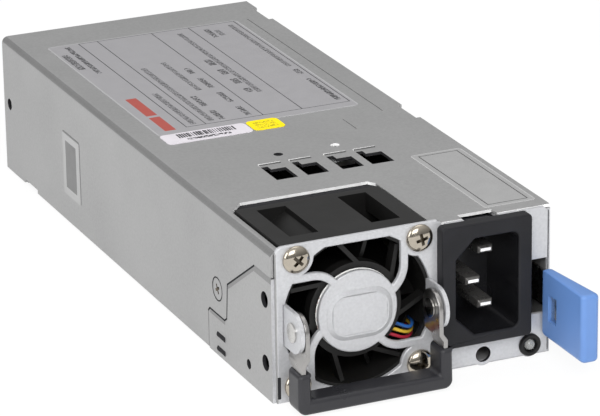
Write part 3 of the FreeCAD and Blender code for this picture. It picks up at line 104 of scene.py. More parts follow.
def colour(name, text, value):
    """A colour that a user can change."""
    return FloatVectorProperty(name=name, description=text, default=value, subtype="COLOR", min=0, max=1)


class SupplyFinishes(bpy.types.PropertyGroup):
    """Colours of the sheet metal and the mouldings."""
    cover: colour("Cover", "Galvanised cover and tray", (0.32, 0.32, 0.32))
    plate: colour("Plate", "Bright plate of the fan guard and the inlet panel", (0.46, 0.464, 0.478))
    grip: colour("Grip", "Handle grip", (0.021, 0.021, 0.024))
    tab: colour("Tab", "Release tab", (0.100, 0.205, 0.46))
    inlet: colour("Inlet", "Inlet moulding", (0.013, 0.013, 0.015))
    fan: colour("Fan", "Fan frame and blades", (0.0065, 0.0063, 0.0061))


class SupplyLabels(bpy.types.PropertyGroup):
    """Sizes of the labels on the cover."""
    thick: length("Thickness", "Thickness of each label", 0.09)
    corner: length("Corner", "Corner radius of the printed labels", 1.4)
    rating_wide: length("Rating width", "Width of the rating label", 56.2)
    rating_long: length("Rating length", "Length of the rating label", 81.6)


class SupplyHardware(bpy.types.PropertyGroup):
    """Sizes of the fasteners."""
    head_radius: length("Head radius", "Radius of a fan screw's head", 3.42)
    head_high: length("Head height", "Height of a fan screw's head", 2.0)
    recess: length("Recess", "Reach of the cross recess from the middle", 2.05)


class SupplyStudio(bpy.types.PropertyGroup):
    """Camera and lamps."""
    lens: FloatProperty(name="Lens", description="Focal length in millimetres", default=222.06)
    key: FloatProperty(name="Key", description="Power of the front lamp", default=20.1, unit="POWER")
    fill: FloatProperty(name="Fill", description="Power of the side lamp", default=5.0, unit="POWER")


# ---- Materials ----

class Weave:
    """A short way to add and join shader nodes, in a new material or a new world."""

    def __init__(self, name, world=False):
        self.result = bpy.data.worlds.new(name) if world else bpy.data.materials.new(name)
        self.result.use_nodes = True
        self.tree = self.result.node_tree
        self.tree.nodes.clear()
        self.output = self.add("OutputWorld" if world else "OutputMaterial")
        self.coordinates = self.add("TexCoord")

    def add(self, kind, **values):
        """A shader node of a kind, with its settings."""
        node = self.tree.nodes.new("ShaderNode" + kind)
        for key, value in values.items():
            setattr(node, key, value)
        return node

    def join(self, start, end):
        """Link one socket to the next."""
        self.tree.links.new(start, end)

    def feed(self, socket, value):
        """Give a socket a link, a number or a colour."""
        if isinstance(value, bpy.types.NodeSocket):
            self.join(value, socket)
        elif isinstance(value, (int, float)):
            socket.default_value = value
        else:
            socket.default_value = (*value, 1.0)

    def placed(self, scale=(1, 1, 1)):
        """The object's own coordinates, stretched along an axis where asked."""
        mapping = self.add("Mapping")
        mapping.inputs["Scale"].default_value = scale
        self.join(self.coordinates.outputs["Object"], mapping.inputs["Vector"])
        return mapping.outputs["Vector"]

    def noise(self, vector, scale, detail=3.0, rough=0.5):
        """Cloudy noise between 0 and 1."""
        node = self.add("TexNoise")
        node.inputs["Scale"].default_value = scale
        node.inputs["Detail"].default_value = detail
        node.inputs["Roughness"].default_value = rough
        self.join(vector, node.inputs["Vector"])
        return node.outputs["Fac"]

    def spread(self, value, low, high, start=0.3, end=0.7):
        """Stretch a value from one range to another."""
        node = self.add("MapRange")
        for key, number in zip(("From Min", "From Max", "To Min", "To Max"), (start, end, low, high)):
            node.inputs[key].default_value = number
        self.join(value, node.inputs["Value"])
        return node.outputs["Result"]

    def mix(self, share, first, second):
        """A colour between two colours."""
        node = self.add("Mix", data_type="RGBA")
        for number, value in ((0, share), (6, first), (7, second)):
            self.feed(node.inputs[number], value)
        return node.outputs[2]

    def reckon(self, operation, *values):
        """One step of arithmetic."""
        node = self.add("Math", operation=operation)
        for number, value in enumerate(values):
            self.feed(node.inputs[number], value)
        return node.outputs[0]

    def times(self, first, second):
        """The product of two values, which is also where two masks overlap."""
        return self.reckon("MULTIPLY", first, second)

    def bump(self, height, strength, distance):
        """A fine relief from a pattern."""
        node = self.add("Bump")
        node.inputs["Strength"].default_value = strength
        node.inputs["Distance"].default_value = distance
        self.join(height, node.inputs["Height"])
        return node.outputs["Normal"]

    def surface(self, base, roughness, normal=None, **constants):
        """The finished surface. A constant's name has underscores for its blanks."""
        shader = self.add("BsdfPrincipled")
        self.join(base, shader.inputs["Base Color"])
        self.join(roughness, shader.inputs["Roughness"])
        if normal is not None:
            self.join(normal, shader.inputs["Normal"])
        for key, value in constants.items():
            shader.inputs[key.replace("_", " ")].default_value = value
        self.join(shader.outputs[0], self.output.inputs["Surface"])
        return self.result

    def blend(self, share, first, second):
        """The finished surface or world, between two shaders."""
        node = self.add("MixShader")
        self.join(share, node.inputs[0])
        self.join(first.outputs[0], node.inputs[1])
        self.join(second.outputs[0], node.inputs[2])
        self.join(node.outputs[0], self.output.inputs["Surface"])
        return self.result


def shade(tone, factor):
    """A colour made lighter or darker."""
    return tuple(min(1.0, value * factor) for value in tone)


def galvanised(name, tone, metallic=0.55, roughness=0.46, speckle=0.4):
    """Zinc coated sheet: crystal blotches, bright specks, fine rolling grain and soft smudges."""
    weave = Weave(name)
    place = weave.placed()
    crystal = weave.add("TexVoronoi", feature="F1")
    crystal.inputs["Scale"].default_value = 900
    weave.join(place, crystal.inputs["Vector"])
    blotch = weave.noise(place, 60, 4)
    grain = weave.noise(weave.placed((1.0, 0.12, 1.0)), 2600, 3)
    smudge = weave.noise(place, 22, 2)
    speck = weave.noise(place, 1500, 2)
    tint = weave.mix(weave.spread(blotch, 0, 1), shade(tone, 0.955), shade(tone, 1.03))
    tint = weave.mix(weave.spread(speck, 0, speckle), tint, shade(tone, 1.30))
    tint = weave.mix(weave.spread(crystal.outputs["Distance"], 0, 0.16, 0.1, 0.9), tint, shade(tone, 1.14))
    rough = weave.spread(smudge, roughness - 0.05, roughness + 0.07)
    return weave.surface(tint, rough, weave.bump(grain, 0.10, 0.04 * MM), Metallic=metallic)


def moulded(name, tone, roughness=0.5, grain=2400, depth=0.05 * MM, swing=0.12, **constants):
    """Moulded plastic with a fine spark-eroded texture."""
    weave = Weave(name)
    place = weave.placed()
    pit = weave.noise(place, grain, 3, 0.6)
    patch = weave.noise(place, 90, 3)
    tint = weave.mix(weave.spread(patch, 0, 1), shade(tone, 1 - swing), shade(tone, 1 + swing))
    rough = weave.spread(patch, roughness - 0.05, roughness + 0.06)
    return weave.surface(tint, rough, weave.bump(pit, 0.25, depth), **constants)


def plated(name, tone, roughness=0.18, metallic=1.0):
    """Plated metal with fine turning marks and a slight haze."""
    weave = Weave(name)
    haze = weave.noise(weave.placed(), 420, 4)
    marks = weave.noise(weave.placed((1, 6, 1)), 1500, 2)
    tint = weave.mix(weave.spread(haze, 0, 1), shade(tone, 0.9), shade(tone, 1.08))
    rough = weave.spread(haze, roughness - 0.05, roughness + 0.08)
    return weave.surface(tint, rough, weave.bump(marks, 0.08, 0.03 * MM), Metallic=metallic)


def wound(name, tone):
    """Enamelled wire: fine turns round a coil."""
    weave = Weave(name)
    turns = weave.add("TexWave", wave_type="RINGS", rings_direction="Z")
    turns.inputs["Scale"].default_value = 380
    turns.inputs["Distortion"].default_value = 0.6
    weave.join(weave.placed(), turns.inputs["Vector"])
    crown = turns.outputs["Fac"]
    # The grooves between the turns are painted darker, as shade.
    tint = weave.mix(weave.spread(crown, 0, 1, 0, 1), shade(tone, 0.45), tone)
    rough = weave.spread(crown, 0.25, 0.45, 0, 1)
    return weave.surface(tint, rough, weave.bump(crown, 0.6, 0.3 * MM), Metallic=0.4)


def laminate(name, tone):
    """Solder-masked board: weave under the mask and paler tracks."""
    weave = Weave(name)
    tracks = weave.add("TexBrick")
    tracks.inputs["Scale"].default_value = 240
    tracks.inputs["Mortar Size"].default_value = 0.03
    weave.join(weave.placed(), tracks.inputs["Vector"])
    cloudy = weave.noise(weave.placed(), 400, 3)
    tint = weave.mix(tracks.outputs["Fac"], tone, shade(tone, 1.7))
    tint = weave.mix(weave.spread(cloudy, 0, 0.35), tint, shade(tone, 0.6))
    rough = weave.spread(cloudy, 0.28, 0.42)
    return weave.surface(tint, rough, weave.bump(tracks.outputs["Fac"], 0.3, 0.06 * MM))


def lamp_plastic(name):
    """Clear lamp: faintly milky, lit from inside by what passes through."""
    weave = Weave(name)
    flow = weave.noise(weave.placed(), 700, 2)
    tint = weave.mix(weave.spread(flow, 0, 1), (0.75, 0.76, 0.74), (0.86, 0.87, 0.85))
    return weave.surface(tint, weave.spread(flow, 0.05, 0.14), Transmission_Weight=0.75, IOR=1.5)


def label_stock(weave, paper, layers, roughness=0.42, **constants):
    """Coated label stock: slight mottling under one or more layers of print."""
    mottling = weave.noise(weave.placed(), 260, 3)
    base = weave.mix(weave.spread(mottling, 0, 1), shade(paper, 0.97), shade(paper, 1.03))
    for ink, tone in layers:
        base = weave.mix(ink.total, base, tone)
    rough = weave.spread(mottling, roughness - 0.04, roughness + 0.06)
    return weave.surface(base, rough, weave.bump(mottling, 0.05, 0.02 * MM), **constants)


def sheet_finishes(settings):
    """Galvanised sheet, its darker copies as painted shade, its cut edges, and the painted shade of the gaps
    between sheets.
    """
    return {
        "zinc_sheet": galvanised("galvanised_sheet", settings.cover),
        # A darker copy of the cover's sheet: painted shade on the fronts of the vent lips.
        "painted_shade_zinc": galvanised("painted_shade_zinc", shade(settings.cover, 0.3)),
        # A darker copy of the cover's sheet: painted shade in the fold, the scribed lines and beside the
        # seam.
        "painted_fold_shade": galvanised("painted_fold_shade", shade(settings.cover, 0.66)),
        "tray_sheet": galvanised("galvanised_tray", shade(settings.cover, 1.02)),
        "guard_sheet": galvanised("bright_plate", settings.plate, 0.45, 0.38, 0.42),
        # Bare cut steel, near-white so that it also stands for a painted highlight on edges, lip tops and
        # pin tips.
        "cut_steel_and_glint": plated("cut_steel_and_glint", (0.93, 0.93, 0.93), 0.5, 0.25),
        "gap_shadow": moulded("gap_shadow", (0.022, 0.022, 0.024), 0.8, Specular_IOR_Level=0.1),
    }


def hardware_finishes():
    """Plated screws, pins and rivets, the bail and the latch spring."""
    return {
        "nickel": plated("nickel_plate", (0.60, 0.59, 0.57), 0.16),
        "pin_nickel": plated("pin_nickel", (0.15, 0.145, 0.14), 0.28, 0.7),
        "screw_nickel": plated("screw_nickel", (0.50, 0.45, 0.375), 0.11),
        # A darker nickel for the faces in the screws' cross recesses.
        "recess": plated("recess_nickel", (0.10, 0.085, 0.065), 0.4, 0.6),
        "bail_steel": plated("bail_steel", (0.42, 0.41, 0.40), 0.30),
        "spring_steel": plated("spring_steel", (0.55, 0.54, 0.52), 0.26),
    }


def moulding_finishes(settings):
    """Fan, grip, tab, inlet and lamp."""
    return {
        "dark_plastic": moulded("fan_plastic", settings.fan, 0.44, Specular_IOR_Level=0.31),
        # A darker copy of the fan's plastic: painted shade on the rotor inside the fan.
        "blade_plastic_in_shade": moulded("blade_plastic_in_shade", shade(settings.fan, 0.5), 0.3, Specular_IOR_Level=0.3),
        "grip_plastic": moulded("grip_plastic", settings.grip, 0.31, Specular_IOR_Level=0.38),
        "blue_plastic": moulded("tab_plastic", settings.tab, 0.42, swing=0.04),
        "inlet_plastic": moulded("inlet_plastic", settings.inlet, 0.5, 1500, 0.14 * MM, 0.25,
                                 Specular_IOR_Level=0.22),
        "socket_plastic": moulded("socket_plastic", shade(settings.inlet, 0.6), 0.22,
                                  Specular_IOR_Level=0.5),
        "clear_plastic": lamp_plastic("clear_lamp"),
    }


def board_finishes():
    """The power board and the parts that stand on it."""
    return {
        "iron": moulded("laminated_iron", (0.10, 0.10, 0.11), 0.55, Metallic=0.6),
        "ferrite": moulded("ferrite", (0.035, 0.035, 0.038), 0.7),
        "copper_wire": wound("enamelled_copper", (0.22, 0.07, 0.025)),
        "bronze": plated("sintered_bronze", (0.52, 0.34, 0.16), 0.4),
        "gold": plated("gold_finish", (0.80, 0.56, 0.20), 0.22),
        "board_green": laminate("green_laminate", (0.012, 0.075, 0.035)),
        "film": moulded("insulating_film", (0.55, 0.50, 0.30), 0.3),
        "can_sleeve": moulded("can_sleeve", (0.015, 0.018, 0.028), 0.3),
        "yellow_plastic": moulded("yellow_tape", (0.60, 0.42, 0.04), 0.4),
        "black_epoxy": moulded("black_epoxy", (0.018, 0.018, 0.018), 0.55),
        "white_plastic": moulded("white_plastic", (0.70, 0.70, 0.66), 0.45, swing=0.05),
        "heatsink_metal": plated("extruded_aluminium", (0.58, 0.59, 0.60), 0.34),
    }


def lead_finishes():
    """The insulation of the fan's and the inlet's leads."""
    tones = {"red": (0.34, 0.02, 0.04), "yellow": (0.50, 0.33, 0.03), "blue": (0.02, 0.10, 0.33),
             "green": (0.05, 0.30, 0.08), "brown": (0.16, 0.07, 0.03)}
    return {name + "_wire": moulded(name + "_insulation", tone, 0.4) for name, tone in tones.items()}


FINISHES = {}


class SUPPLY_OT_finishes(bpy.types.Operator):
    """Give every CAD node the finish of its slot."""
    bl_idname = "supply.finishes"
    bl_label = "Finishes"

    def execute(self, context):
        settings = context.scene.supply_finishes
        for group in (sheet_finishes(settings), hardware_finishes(), moulding_finishes(settings),
                      board_finishes(), lead_finishes()):
            FINISHES.update(group)
        for entry in frame["record"]["subparts"]:
            for slot in frame["nodes"][entry["node"]].material_slots:
                slot.material = FINISHES[entry["material_slot"]]
        # The rotor gets painted shade: a darker copy of the fan's plastic.
        frame["nodes"]["fan_rotor"].material_slots[0].material = FINISHES["blade_plastic_in_shade"]
        return {"FINISHED"}


# ---- Modelling helpers ----

def deselect():
    """Leave edit mode and let go of everything."""
    if bpy.context.object is not None and bpy.context.object.mode != "OBJECT":
        bpy.ops.object.mode_set(mode="OBJECT")
    bpy.ops.object.select_all(action="DESELECT")


def grab(*pieces):
    """Select these objects only, and make the last one active."""
    deselect()
    for piece in pieces:
        piece.select_set(True)
    bpy.context.view_layer.objects.active = pieces[-1]
    return pieces[-1]


@contextlib.contextmanager
def editing(piece):
    """Shape a piece in edit mode, with all of it selected at the start."""
    grab(piece)
    bpy.ops.object.mode_set(mode="EDIT")
    bpy.ops.mesh.select_all(action="SELECT")
    yield
    bpy.ops.object.mode_set(mode="OBJECT")


def settle(piece):
    """Move an object's place, turn and size into its mesh."""
    grab(piece)
    bpy.ops.object.transform_apply(location=True, rotation=True, scale=True)
    return piece


def added(name, size=(1, 1, 1)):
    """Name, stretch and settle the primitive that was just added."""
    piece = bpy.context.object
    piece.name = name
    piece.scale = size
    return settle(piece)


def block(name, low, high):
    """A box between two corners, ready to be shaped."""
    deselect()
    low, high = Vector(low), Vector(high)
    bpy.ops.mesh.primitive_cube_add(size=1.0, location=(low + high) / 2)
    return added(name, high - low)


def pick(piece, kind, test):
    """In edit mode, select only the edges or faces that a test accepts."""
    bpy.ops.mesh.select_mode(type=kind)
    bpy.ops.mesh.select_all(action="DESELECT")
    shape = bmesh.from_edit_mesh(piece.data)
    for item in shape.faces if kind == "FACE" else shape.edges:
        item.select_set(test(item))
    shape.select_flush_mode()
    bmesh.update_edit_mesh(piece.data)


def runs_along(axis, shortest=0.0):
    """A test for edges that run along one axis for more than a length."""
    def test(edge):
        way = edge.verts[1].co - edge.verts[0].co
        return abs(way[axis]) > 0.999 * way.length and way.length > shortest
    return test


def lies_at(axis, *levels):
    """A test for edges that lie wholly at one of these places along an axis."""
    def test(edge):
        return any(all(abs(vert.co[axis] - level) < 2 * TOUCH for vert in edge.verts)
                   for level in levels)
    return test


def round_edges(piece, axis, radius, segments=5):
    """Round the edges of a block that run along one axis."""
    with editing(piece):
        pick(piece, "EDGE", runs_along(axis))
        bpy.ops.mesh.bevel(offset=radius, segments=segments, affect="EDGES")
    return piece


def roll(piece, width, segments, test):
    """Round the sharp edges that a test picks."""
    with editing(piece):
        pick(piece, "EDGE", lambda edge: edge.calc_face_angle(0) > 0.6 and test(edge))
        bpy.ops.mesh.bevel(offset=width, segments=segments, affect="EDGES", clamp_overlap=False)
    return piece


def apply_all(piece):
    """Apply every modifier, in order."""
    grab(piece)
    for modifier in list(piece.modifiers):
        bpy.ops.object.modifier_apply(modifier=modifier.name)
    return piece


def shade_below(piece, angle):
    """Shade a piece smoothly where its faces meet below an angle in degrees."""
    grab(piece)
    bpy.ops.object.shade_smooth_by_angle(angle=math.radians(angle))
    return piece


def smooth(piece, angle=35):
    """Shade smoothly below an angle, and keep the large flat faces flat."""
    shade_below(piece, angle)
    weighted = piece.modifiers.new("flat", "WEIGHTED_NORMAL")
    weighted.keep_sharp = True
    weighted.weight = 100
    return apply_all(piece)


def soften(piece, width, segments=2, angle=40):
    """Break every sharp edge with a small bevel and shade it smoothly."""
    bevel = piece.modifiers.new("edge", "BEVEL")
    bevel.width = width
    bevel.segments = segments
    bevel.limit_method = "ANGLE"
    bevel.angle_limit = math.radians(angle)
    bevel.use_clamp_overlap = True
    return smooth(apply_all(piece))


def rolled_front(piece, level):
    """Roll the rim of a flat front face back in two rings, as a press leaves it."""
    widths, backs = (0.16 * MM, 0.22 * MM), (0.30 * MM, 0.07 * MM)
    rings = []
    with editing(piece):
        for width in widths:
            pick(piece, "FACE", lambda face: face.normal.y < -0.99
                 and abs(face.calc_center_median().y - level) < TOUCH
                 and not any(vert.index in ring for ring in rings for vert in face.verts))
            bpy.ops.mesh.inset(thickness=width, use_even_offset=True)
            mesh = bmesh.from_edit_mesh(piece.data)
            inner = {vert.index for vert in mesh.verts if vert.select}
            outer = {vert.index for vert in mesh.verts if abs(vert.co.y - level) < TOUCH} - inner
            rings.append(outer.difference(*rings))
        mesh = bmesh.from_edit_mesh(piece.data)
        mesh.verts.ensure_lookup_table()
        for ring, back in zip(rings, backs):
            for index in ring:
                mesh.verts[index].co.y += back
        bmesh.update_edit_mesh(piece.data)
    return smooth(piece, 50)


def linked(name, data):
    """A new object in the scene."""
    piece = bpy.data.objects.new(name, data)
    bpy.context.scene.collection.objects.link(piece)
    return piece


def restated(node, name):
    """A copy of a CAD node with its doubles merged and its flat faces whole again."""
    piece = linked(name, frame["nodes"][node].data.copy())
    with editing(piece):
        bpy.ops.mesh.remove_doubles(threshold=0.004 * MM)
        bpy.ops.mesh.select_all(action="SELECT")
        bpy.ops.mesh.dissolve_limited(angle_limit=math.radians(1.0))
    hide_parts(node)
    return piece


def turned(name, start, steps, axis, sides=40):
    """A round piece built up from a disc. Each step is a radius and how far it rises."""
    deselect()
    way = Vector(axis).normalized()
    spin = Vector((0, 0, 1)).rotation_difference(way)
    radius = steps[0][0]
    bpy.ops.mesh.primitive_circle_add(vertices=sides, radius=radius, fill_type="NGON", location=start,
                                      rotation=spin.to_euler())
    piece = added(name)
    centre = Vector(start)
    with editing(piece):
        for wide, rise in steps[1:]:
            centre = centre + way * rise
            bpy.ops.mesh.extrude_region_move(TRANSFORM_OT_translate={"value": way * rise})
            if abs(wide - radius) > 1e-9:
                share = wide / radius
                bpy.ops.transform.resize(value=(share, share, share), center_override=centre)
            radius = wide
        bpy.ops.mesh.select_all(action="SELECT")
        bpy.ops.mesh.normals_make_consistent(inside=False)
    return shade_below(piece, 40)


def combine(piece, other, operation):
    """Join another shape to a piece, or cut it out, and use the other up."""
    step = piece.modifiers.new("combine", "BOOLEAN")
    step.operation = operation
    step.solver = "EXACT"
    step.object = other
    apply_all(piece)
    bpy.data.objects.remove(other, do_unlink=True)
    return piece


def joined(name, pieces):
    """One object made of several finished ones."""
    grab(*pieces)
    bpy.ops.object.join()
    piece = bpy.context.object
    piece.name = name
    return piece


def dress(piece, body, slot, material=None):
    """Give a finished piece its material and its body."""
    piece.data.materials.clear()
    piece.data.materials.append(material or FINISHES[slot])
    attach(piece, body)
    return piece


def repaint(piece, finish, test):
    """Give the faces that a test picks another finish."""
    piece.data.materials.append(FINISHES[finish])
    for face in piece.data.polygons:
        if test(face):
            face.material_index = len(piece.data.materials) - 1


# ---- Which faces of the sheets have another finish ----

def spot(face):
    """Where a face lies, in millimetres from the case's left side, the front and the ground."""
    return (face.center.x - CASE_LOW.x) / MM, (face.center.y - FRONT) / MM, face.center.z / MM


def over_roof(face):
    """How high a face lies over the roof, in millimetres."""
    return (face.center.z - ROOF) / MM


def in_left_side(face):
    """Faces of the cover's left skirt or of the tray's cheek."""
    return spot(face)[X] < 1.1


def in_roof(face):
    """Upright faces between the roof's two sides, in the front half of the cover."""
    return abs(face.normal.z) < 0.3 and -1.5 < over_roof(face) < -0.03 and face.center.y < 0


def cut_edge(face):
    """The sheet's bare cut edges round the fan and the inlet, brightened with a painted highlight, but not
    small holes' walls.
    """
    if in_left_side(face) and over_roof(face) < -1.2:
        return False
    return face.normal.y < -0.4 and face.center.y < FAN_HIGH.y + 12 * MM and 1.0 < face.area / MM ** 2 < 30


def tray_front(face):
    """The tray's foremost edges, which lie against the guard and the panel."""
    return face.normal.y < -0.4 and face.center.y < TRAY_LOW.y + 0.3 * MM


def scribed_line(face):
    """The floor and walls of the shallow lines scribed along the roof."""
    return spot(face)[X] > 51.75 and -0.25 < over_roof(face) < -0.03


def folded_corner(face):
    """The rounded fold between the roof and the cover's left side."""
    return face.normal.x < -0.25 and face.normal.z > 0.25 and spot(face)[X] < 2


def punched_hole(face):
    """The walls of the two small round holes behind the vents."""
    across, along = spot(face)[:2]
    return in_roof(face) and 61 < along < 65 and 24.75 < across < 48.75


def vent_wall(face):
    """The walls of the four vent windows in the roof."""
    across, along = spot(face)[:2]
    return in_roof(face) and 45 < along < 56 and 21 < across < 54


def vent_lip(face):
    """The lips raised behind the four vent windows."""
    return over_roof(face) > 0.02 and face.center.y < 0


def skirt_hole(face):
    """The wall of the round hole near the rear of the cover's left side."""
    return (abs(face.normal.x) < 0.5 and in_left_side(face) and 2 * MM < CASE_HIGH.y - face.center.y < 7 * MM
            and abs(face.center.z - FAN_Z) < 2.2 * MM)


def opening_in_shade(face):
    """The openings in the cover that get painted shade. The right one of the two small holes gets a painted
    highlight instead.
    """
    return punched_hole(face) and face.center.x < 0 or vent_wall(face) or skirt_hole(face)


def painted_glint(face):
    """Painted highlight on the tops of the vent lips and on the wall of the right one of the two small
    holes.
    """
    return vent_lip(face) and face.normal.y > -0.2 or punched_hole(face) and face.center.x > 0


def raised_louvre(face):
    """The two short louvres pressed out of the tray's cheek."""
    return spot(face)[X] < -0.03


def cheek_hole(face):
    """The walls of the three round holes in the cheek."""
    places = ((5.0, 25.1, 2.0), (4.9, 9.0, 2.0), (15.1, 4.8, 1.25))
    across, along, up = spot(face)
    return abs(face.normal.x) < 0.5 and 0 < across < 1.1 and any(
        math.hypot(along - hole_along, up - hole_up) < radius + 0.2
        for hole_along, hole_up, radius in places)


def panel_hole(face):
    """The wall of the round hole under the inlet."""
    return (abs(face.normal.y) < 0.5 and face.center.y > PANEL_LOW.y + 0.2 * MM
            and math.hypot(face.center.x - PANEL_HOLE[X], face.center.z - PANEL_HOLE[Z]) < 2.2 * MM)


# ---- Fasteners ----

FORWARD = (0, -1, 0)
LEFTWARD = (-1, 0, 0)


def dome(radius, rise, count, short=0.4):
    """Steps of a quarter ellipse, from its foot to a share of a step short of its tip."""
    steps = []
    for number in range(1, count + 1):
        angle, last = (step / (count + short) * math.pi / 2 for step in (number, number - 1))
        steps.append((radius * math.cos(angle), rise * (math.sin(angle) - math.sin(last))))
    return steps


def cross_cutter(middle, reach, half, depth, turn, axis):
    """The shape of a cross driver's tip: two wings that taper towards their end."""
    wings = []
    for number in range(2):
        wing = block("wing", (-reach, -half, -depth), (reach, half, 0.6 * depth))
        with editing(wing):
            pick(wing, "FACE", lambda face: face.normal.z < -0.9)
            bpy.ops.transform.resize(value=(0.45, 0.6, 1.0), center_override=(0, 0, -depth))
        wing.rotation_euler = (0, 0, turn + number * math.pi / 2)
        wings.append(settle(wing))
    tip = combine(*wings, "UNION")
    tip.rotation_mode = "QUATERNION"
    tip.rotation_quaternion = Vector((0, 0, 1)).rotation_difference(Vector(axis).normalized())
    tip.location = middle
    return settle(tip)


def screw_head(name, middle, settings, turn):
    """Pan head with a washer face, a domed crown and a cross recess."""
    radius, rise = settings.head_radius, settings.head_high
    steps = [(0.96 * radius, 0), (radius, 0.1 * rise), (radius, 0.1 * rise)] + dome(radius, 0.8 * rise, 9)
    head = turned(name, middle, steps, FORWARD)
    tip = Vector(middle) + Vector(FORWARD) * rise
    cutter = cross_cutter(tip, settings.recess, 0.48 * MM, 1.3 * MM, turn, FORWARD)
    return shade_below(combine(head, cutter, "DIFFERENCE"), 40)


def screw_shank(name, end, reach):
    """Plain shank of a fan screw, with a short taper at its end."""
    steps = [(0.9 * MM, 0), (1.25 * MM, 0.8 * MM), (1.25 * MM, reach)]
    return turned(name, end, steps, FORWARD, 20)


def flat_screw(low, high):
    """Countersunk screw with a cross recess, within the box of the solid that it stands for."""
    middle = (low + high) / 2
    radius = (high.y - low.y) / 2
    steps = [(1.6 * MM, 0), (radius - 0.05 * MM, 0.7 * MM), (radius, 0.1 * MM),
             (radius - 0.08 * MM, 0.03 * MM)]
    head = turned("case_screw_head", (low.x + 0.85 * MM, middle.y, middle.z), steps, LEFTWARD)
    cutter = cross_cutter((low.x, middle.y, middle.z), 1.7 * MM, 0.42 * MM, 0.6 * MM, 0.5, LEFTWARD)
    combine(head, cutter, "DIFFERENCE")
    steps = [(1.1 * MM, 0), (1.5 * MM, 0.5 * MM), (1.5 * MM, high.x - low.x - 1.3 * MM)]
    shank = turned("case_screw_shank", (high.x, middle.y, middle.z), steps, LEFTWARD, 20)
    return joined("cover_flat_screw", [shank, head])


def countersink_shade(low, high):
    """A dark ring round the head of the flat screw: painted shade in the countersink."""
    middle = (low + high) / 2
    deselect()
    radius = (high.y - low.y) / 2 + 0.12 * MM
    bpy.ops.mesh.primitive_circle_add(vertices=40, radius=radius, fill_type="NGON",
                                      location=(low.x - SKIN, middle.y, middle.z),
                                      rotation=(0, -math.pi / 2, 0))
    ring = added("countersink_shade")
    with editing(ring):
        bpy.ops.mesh.inset(thickness=0.34 * MM)
        bpy.ops.mesh.delete(type="FACE")
    dress(ring, "chassis", "tray_sheet", FINISHES["gap_shadow"])


class SUPPLY_OT_fan_screws(bpy.types.Operator):
    """Four pan head screws in the corners of the fan guard."""
    bl_idname = "supply.fan_screws"
    bl_label = "Fan screws"

    def execute(self, context):
        settings = context.scene.supply_hardware
        half = SCREW_SQUARE / 2
        spots = [(x, z) for x in (FAN_X - half, FAN_X + half) for z in (FAN_Z - half, FAN_Z + half)]
        screws = []
        for number, (x, z) in enumerate(spots):
            head = screw_head("screw_%d" % number, (x, FRONT - SKIN, z), settings, 0.3 + 0.5 * number)
            shank = screw_shank("shank_%d" % number, (x, FRONT + 9.0 * MM, z), 8.0 * MM)
            screws += [shank, head]
        piece = joined("fan_corner_screws", screws)
        dress(piece, "chassis", "nickel", FINISHES["screw_nickel"])
        crown = FRONT - settings.head_high + 0.4 * MM
        # The faces in the cross recesses get a darker nickel.
        repaint(piece, "recess", lambda face: face.center.y > crown and any(
            math.hypot(face.center.x - x, face.center.z - z) < settings.recess for x, z in spots))
        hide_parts("fan_screws")
        return {"FINISHED"}


class SUPPLY_OT_case_screw(bpy.types.Operator):
    """Flat head screw in the cover's left skirt."""
    bl_idname = "supply.case_screw"
    bl_label = "Case screw"

    def execute(self, context):
        low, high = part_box("case_screws")
        piece = flat_screw(low, high)
        dress(piece, "chassis", "nickel", FINISHES["tray_sheet"])
        # The faces behind the head's face, the cross recess among them, get a darker nickel.
        repaint(piece, "recess", lambda face: face.center.x > low.x + 0.06 * MM)
        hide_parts("case_screws")
        countersink_shade(low, high)
        return {"FINISHED"}


# ---- Sheets ----

def shade_plate(name, low, high, radius, segments):
    """A thin dark plate on the front, as painted shade where a gap shows."""
    piece = round_edges(block(name, low, high), Y, radius, segments)
    dress(piece, "chassis", "guard_sheet", FINISHES["gap_shadow"])


def stamped_guard():
    """The fan guard with its rim rolled back and its left side in the cover's finish."""
    guard = rolled_front(restated("fan_guard", "stamped_guard"), FRONT)
    dress(guard, "chassis", "guard_sheet")
    repaint(guard, "zinc_sheet",
            lambda face: face.normal.x < -0.7 and face.center.x < GUARD_LOW.x + 0.1 * MM)


def front_gap_shades():
    """Painted shade for the gap beside the inlet panel and for the slot at the foot of the guard."""
    shade_plate("panel_gap", (PANEL_HIGH.x - 0.24 * MM, FRONT - SKIN, 1.0 * MM),
              (PANEL_HIGH.x + 0.01 * MM, FRONT + 0.1 * MM, ROOF - 1.0 * MM), 0.1 * MM, 2)
    shade_plate("foot_slot_shade", (GUARD_LOW.x + 0.04 * MM, FRONT - SKIN, 1.2 * MM),
              (GUARD_LOW.x + 0.85 * MM, FRONT + 0.1 * MM, 6.8 * MM), 0.2 * MM, 3)


def stamped_panel():
    """The inlet panel with broken edges and painted shade in the hole at its foot."""
    panel = soften(restated("front_panel", "stamped_panel"), BROKEN_EDGE)
    dress(panel, "chassis", "guard_sheet")
    # The wall of the hole under the inlet gets painted shade.
    repaint(panel, "gap_shadow", panel_hole)


def hub_bead():
    """The raised obround bead on the disc in the middle of the guard."""
    bead = block("hub_bead", (FAN_X - 8.15 * MM, FRONT - 0.05 * MM, FAN_Z - 6.95 * MM),
                 (FAN_X + 8.95 * MM, FRONT + 0.2 * MM, FAN_Z + 5.75 * MM))
    round_edges(bead, Y, 5.3 * MM, 10)
    height = 0.42 * MM
    with editing(bead):
        pick(bead, "FACE", lambda face: face.normal.y < -0.9)
        for wide, rise in ((1.05 * MM, height), (0.22 * MM, 0.0), (0.36 * MM, -height)):
            bpy.ops.mesh.inset(thickness=wide, depth=rise, use_even_offset=True)
    dress(soften(bead, 0.1 * MM, 2, 20), "chassis", "guard_sheet")


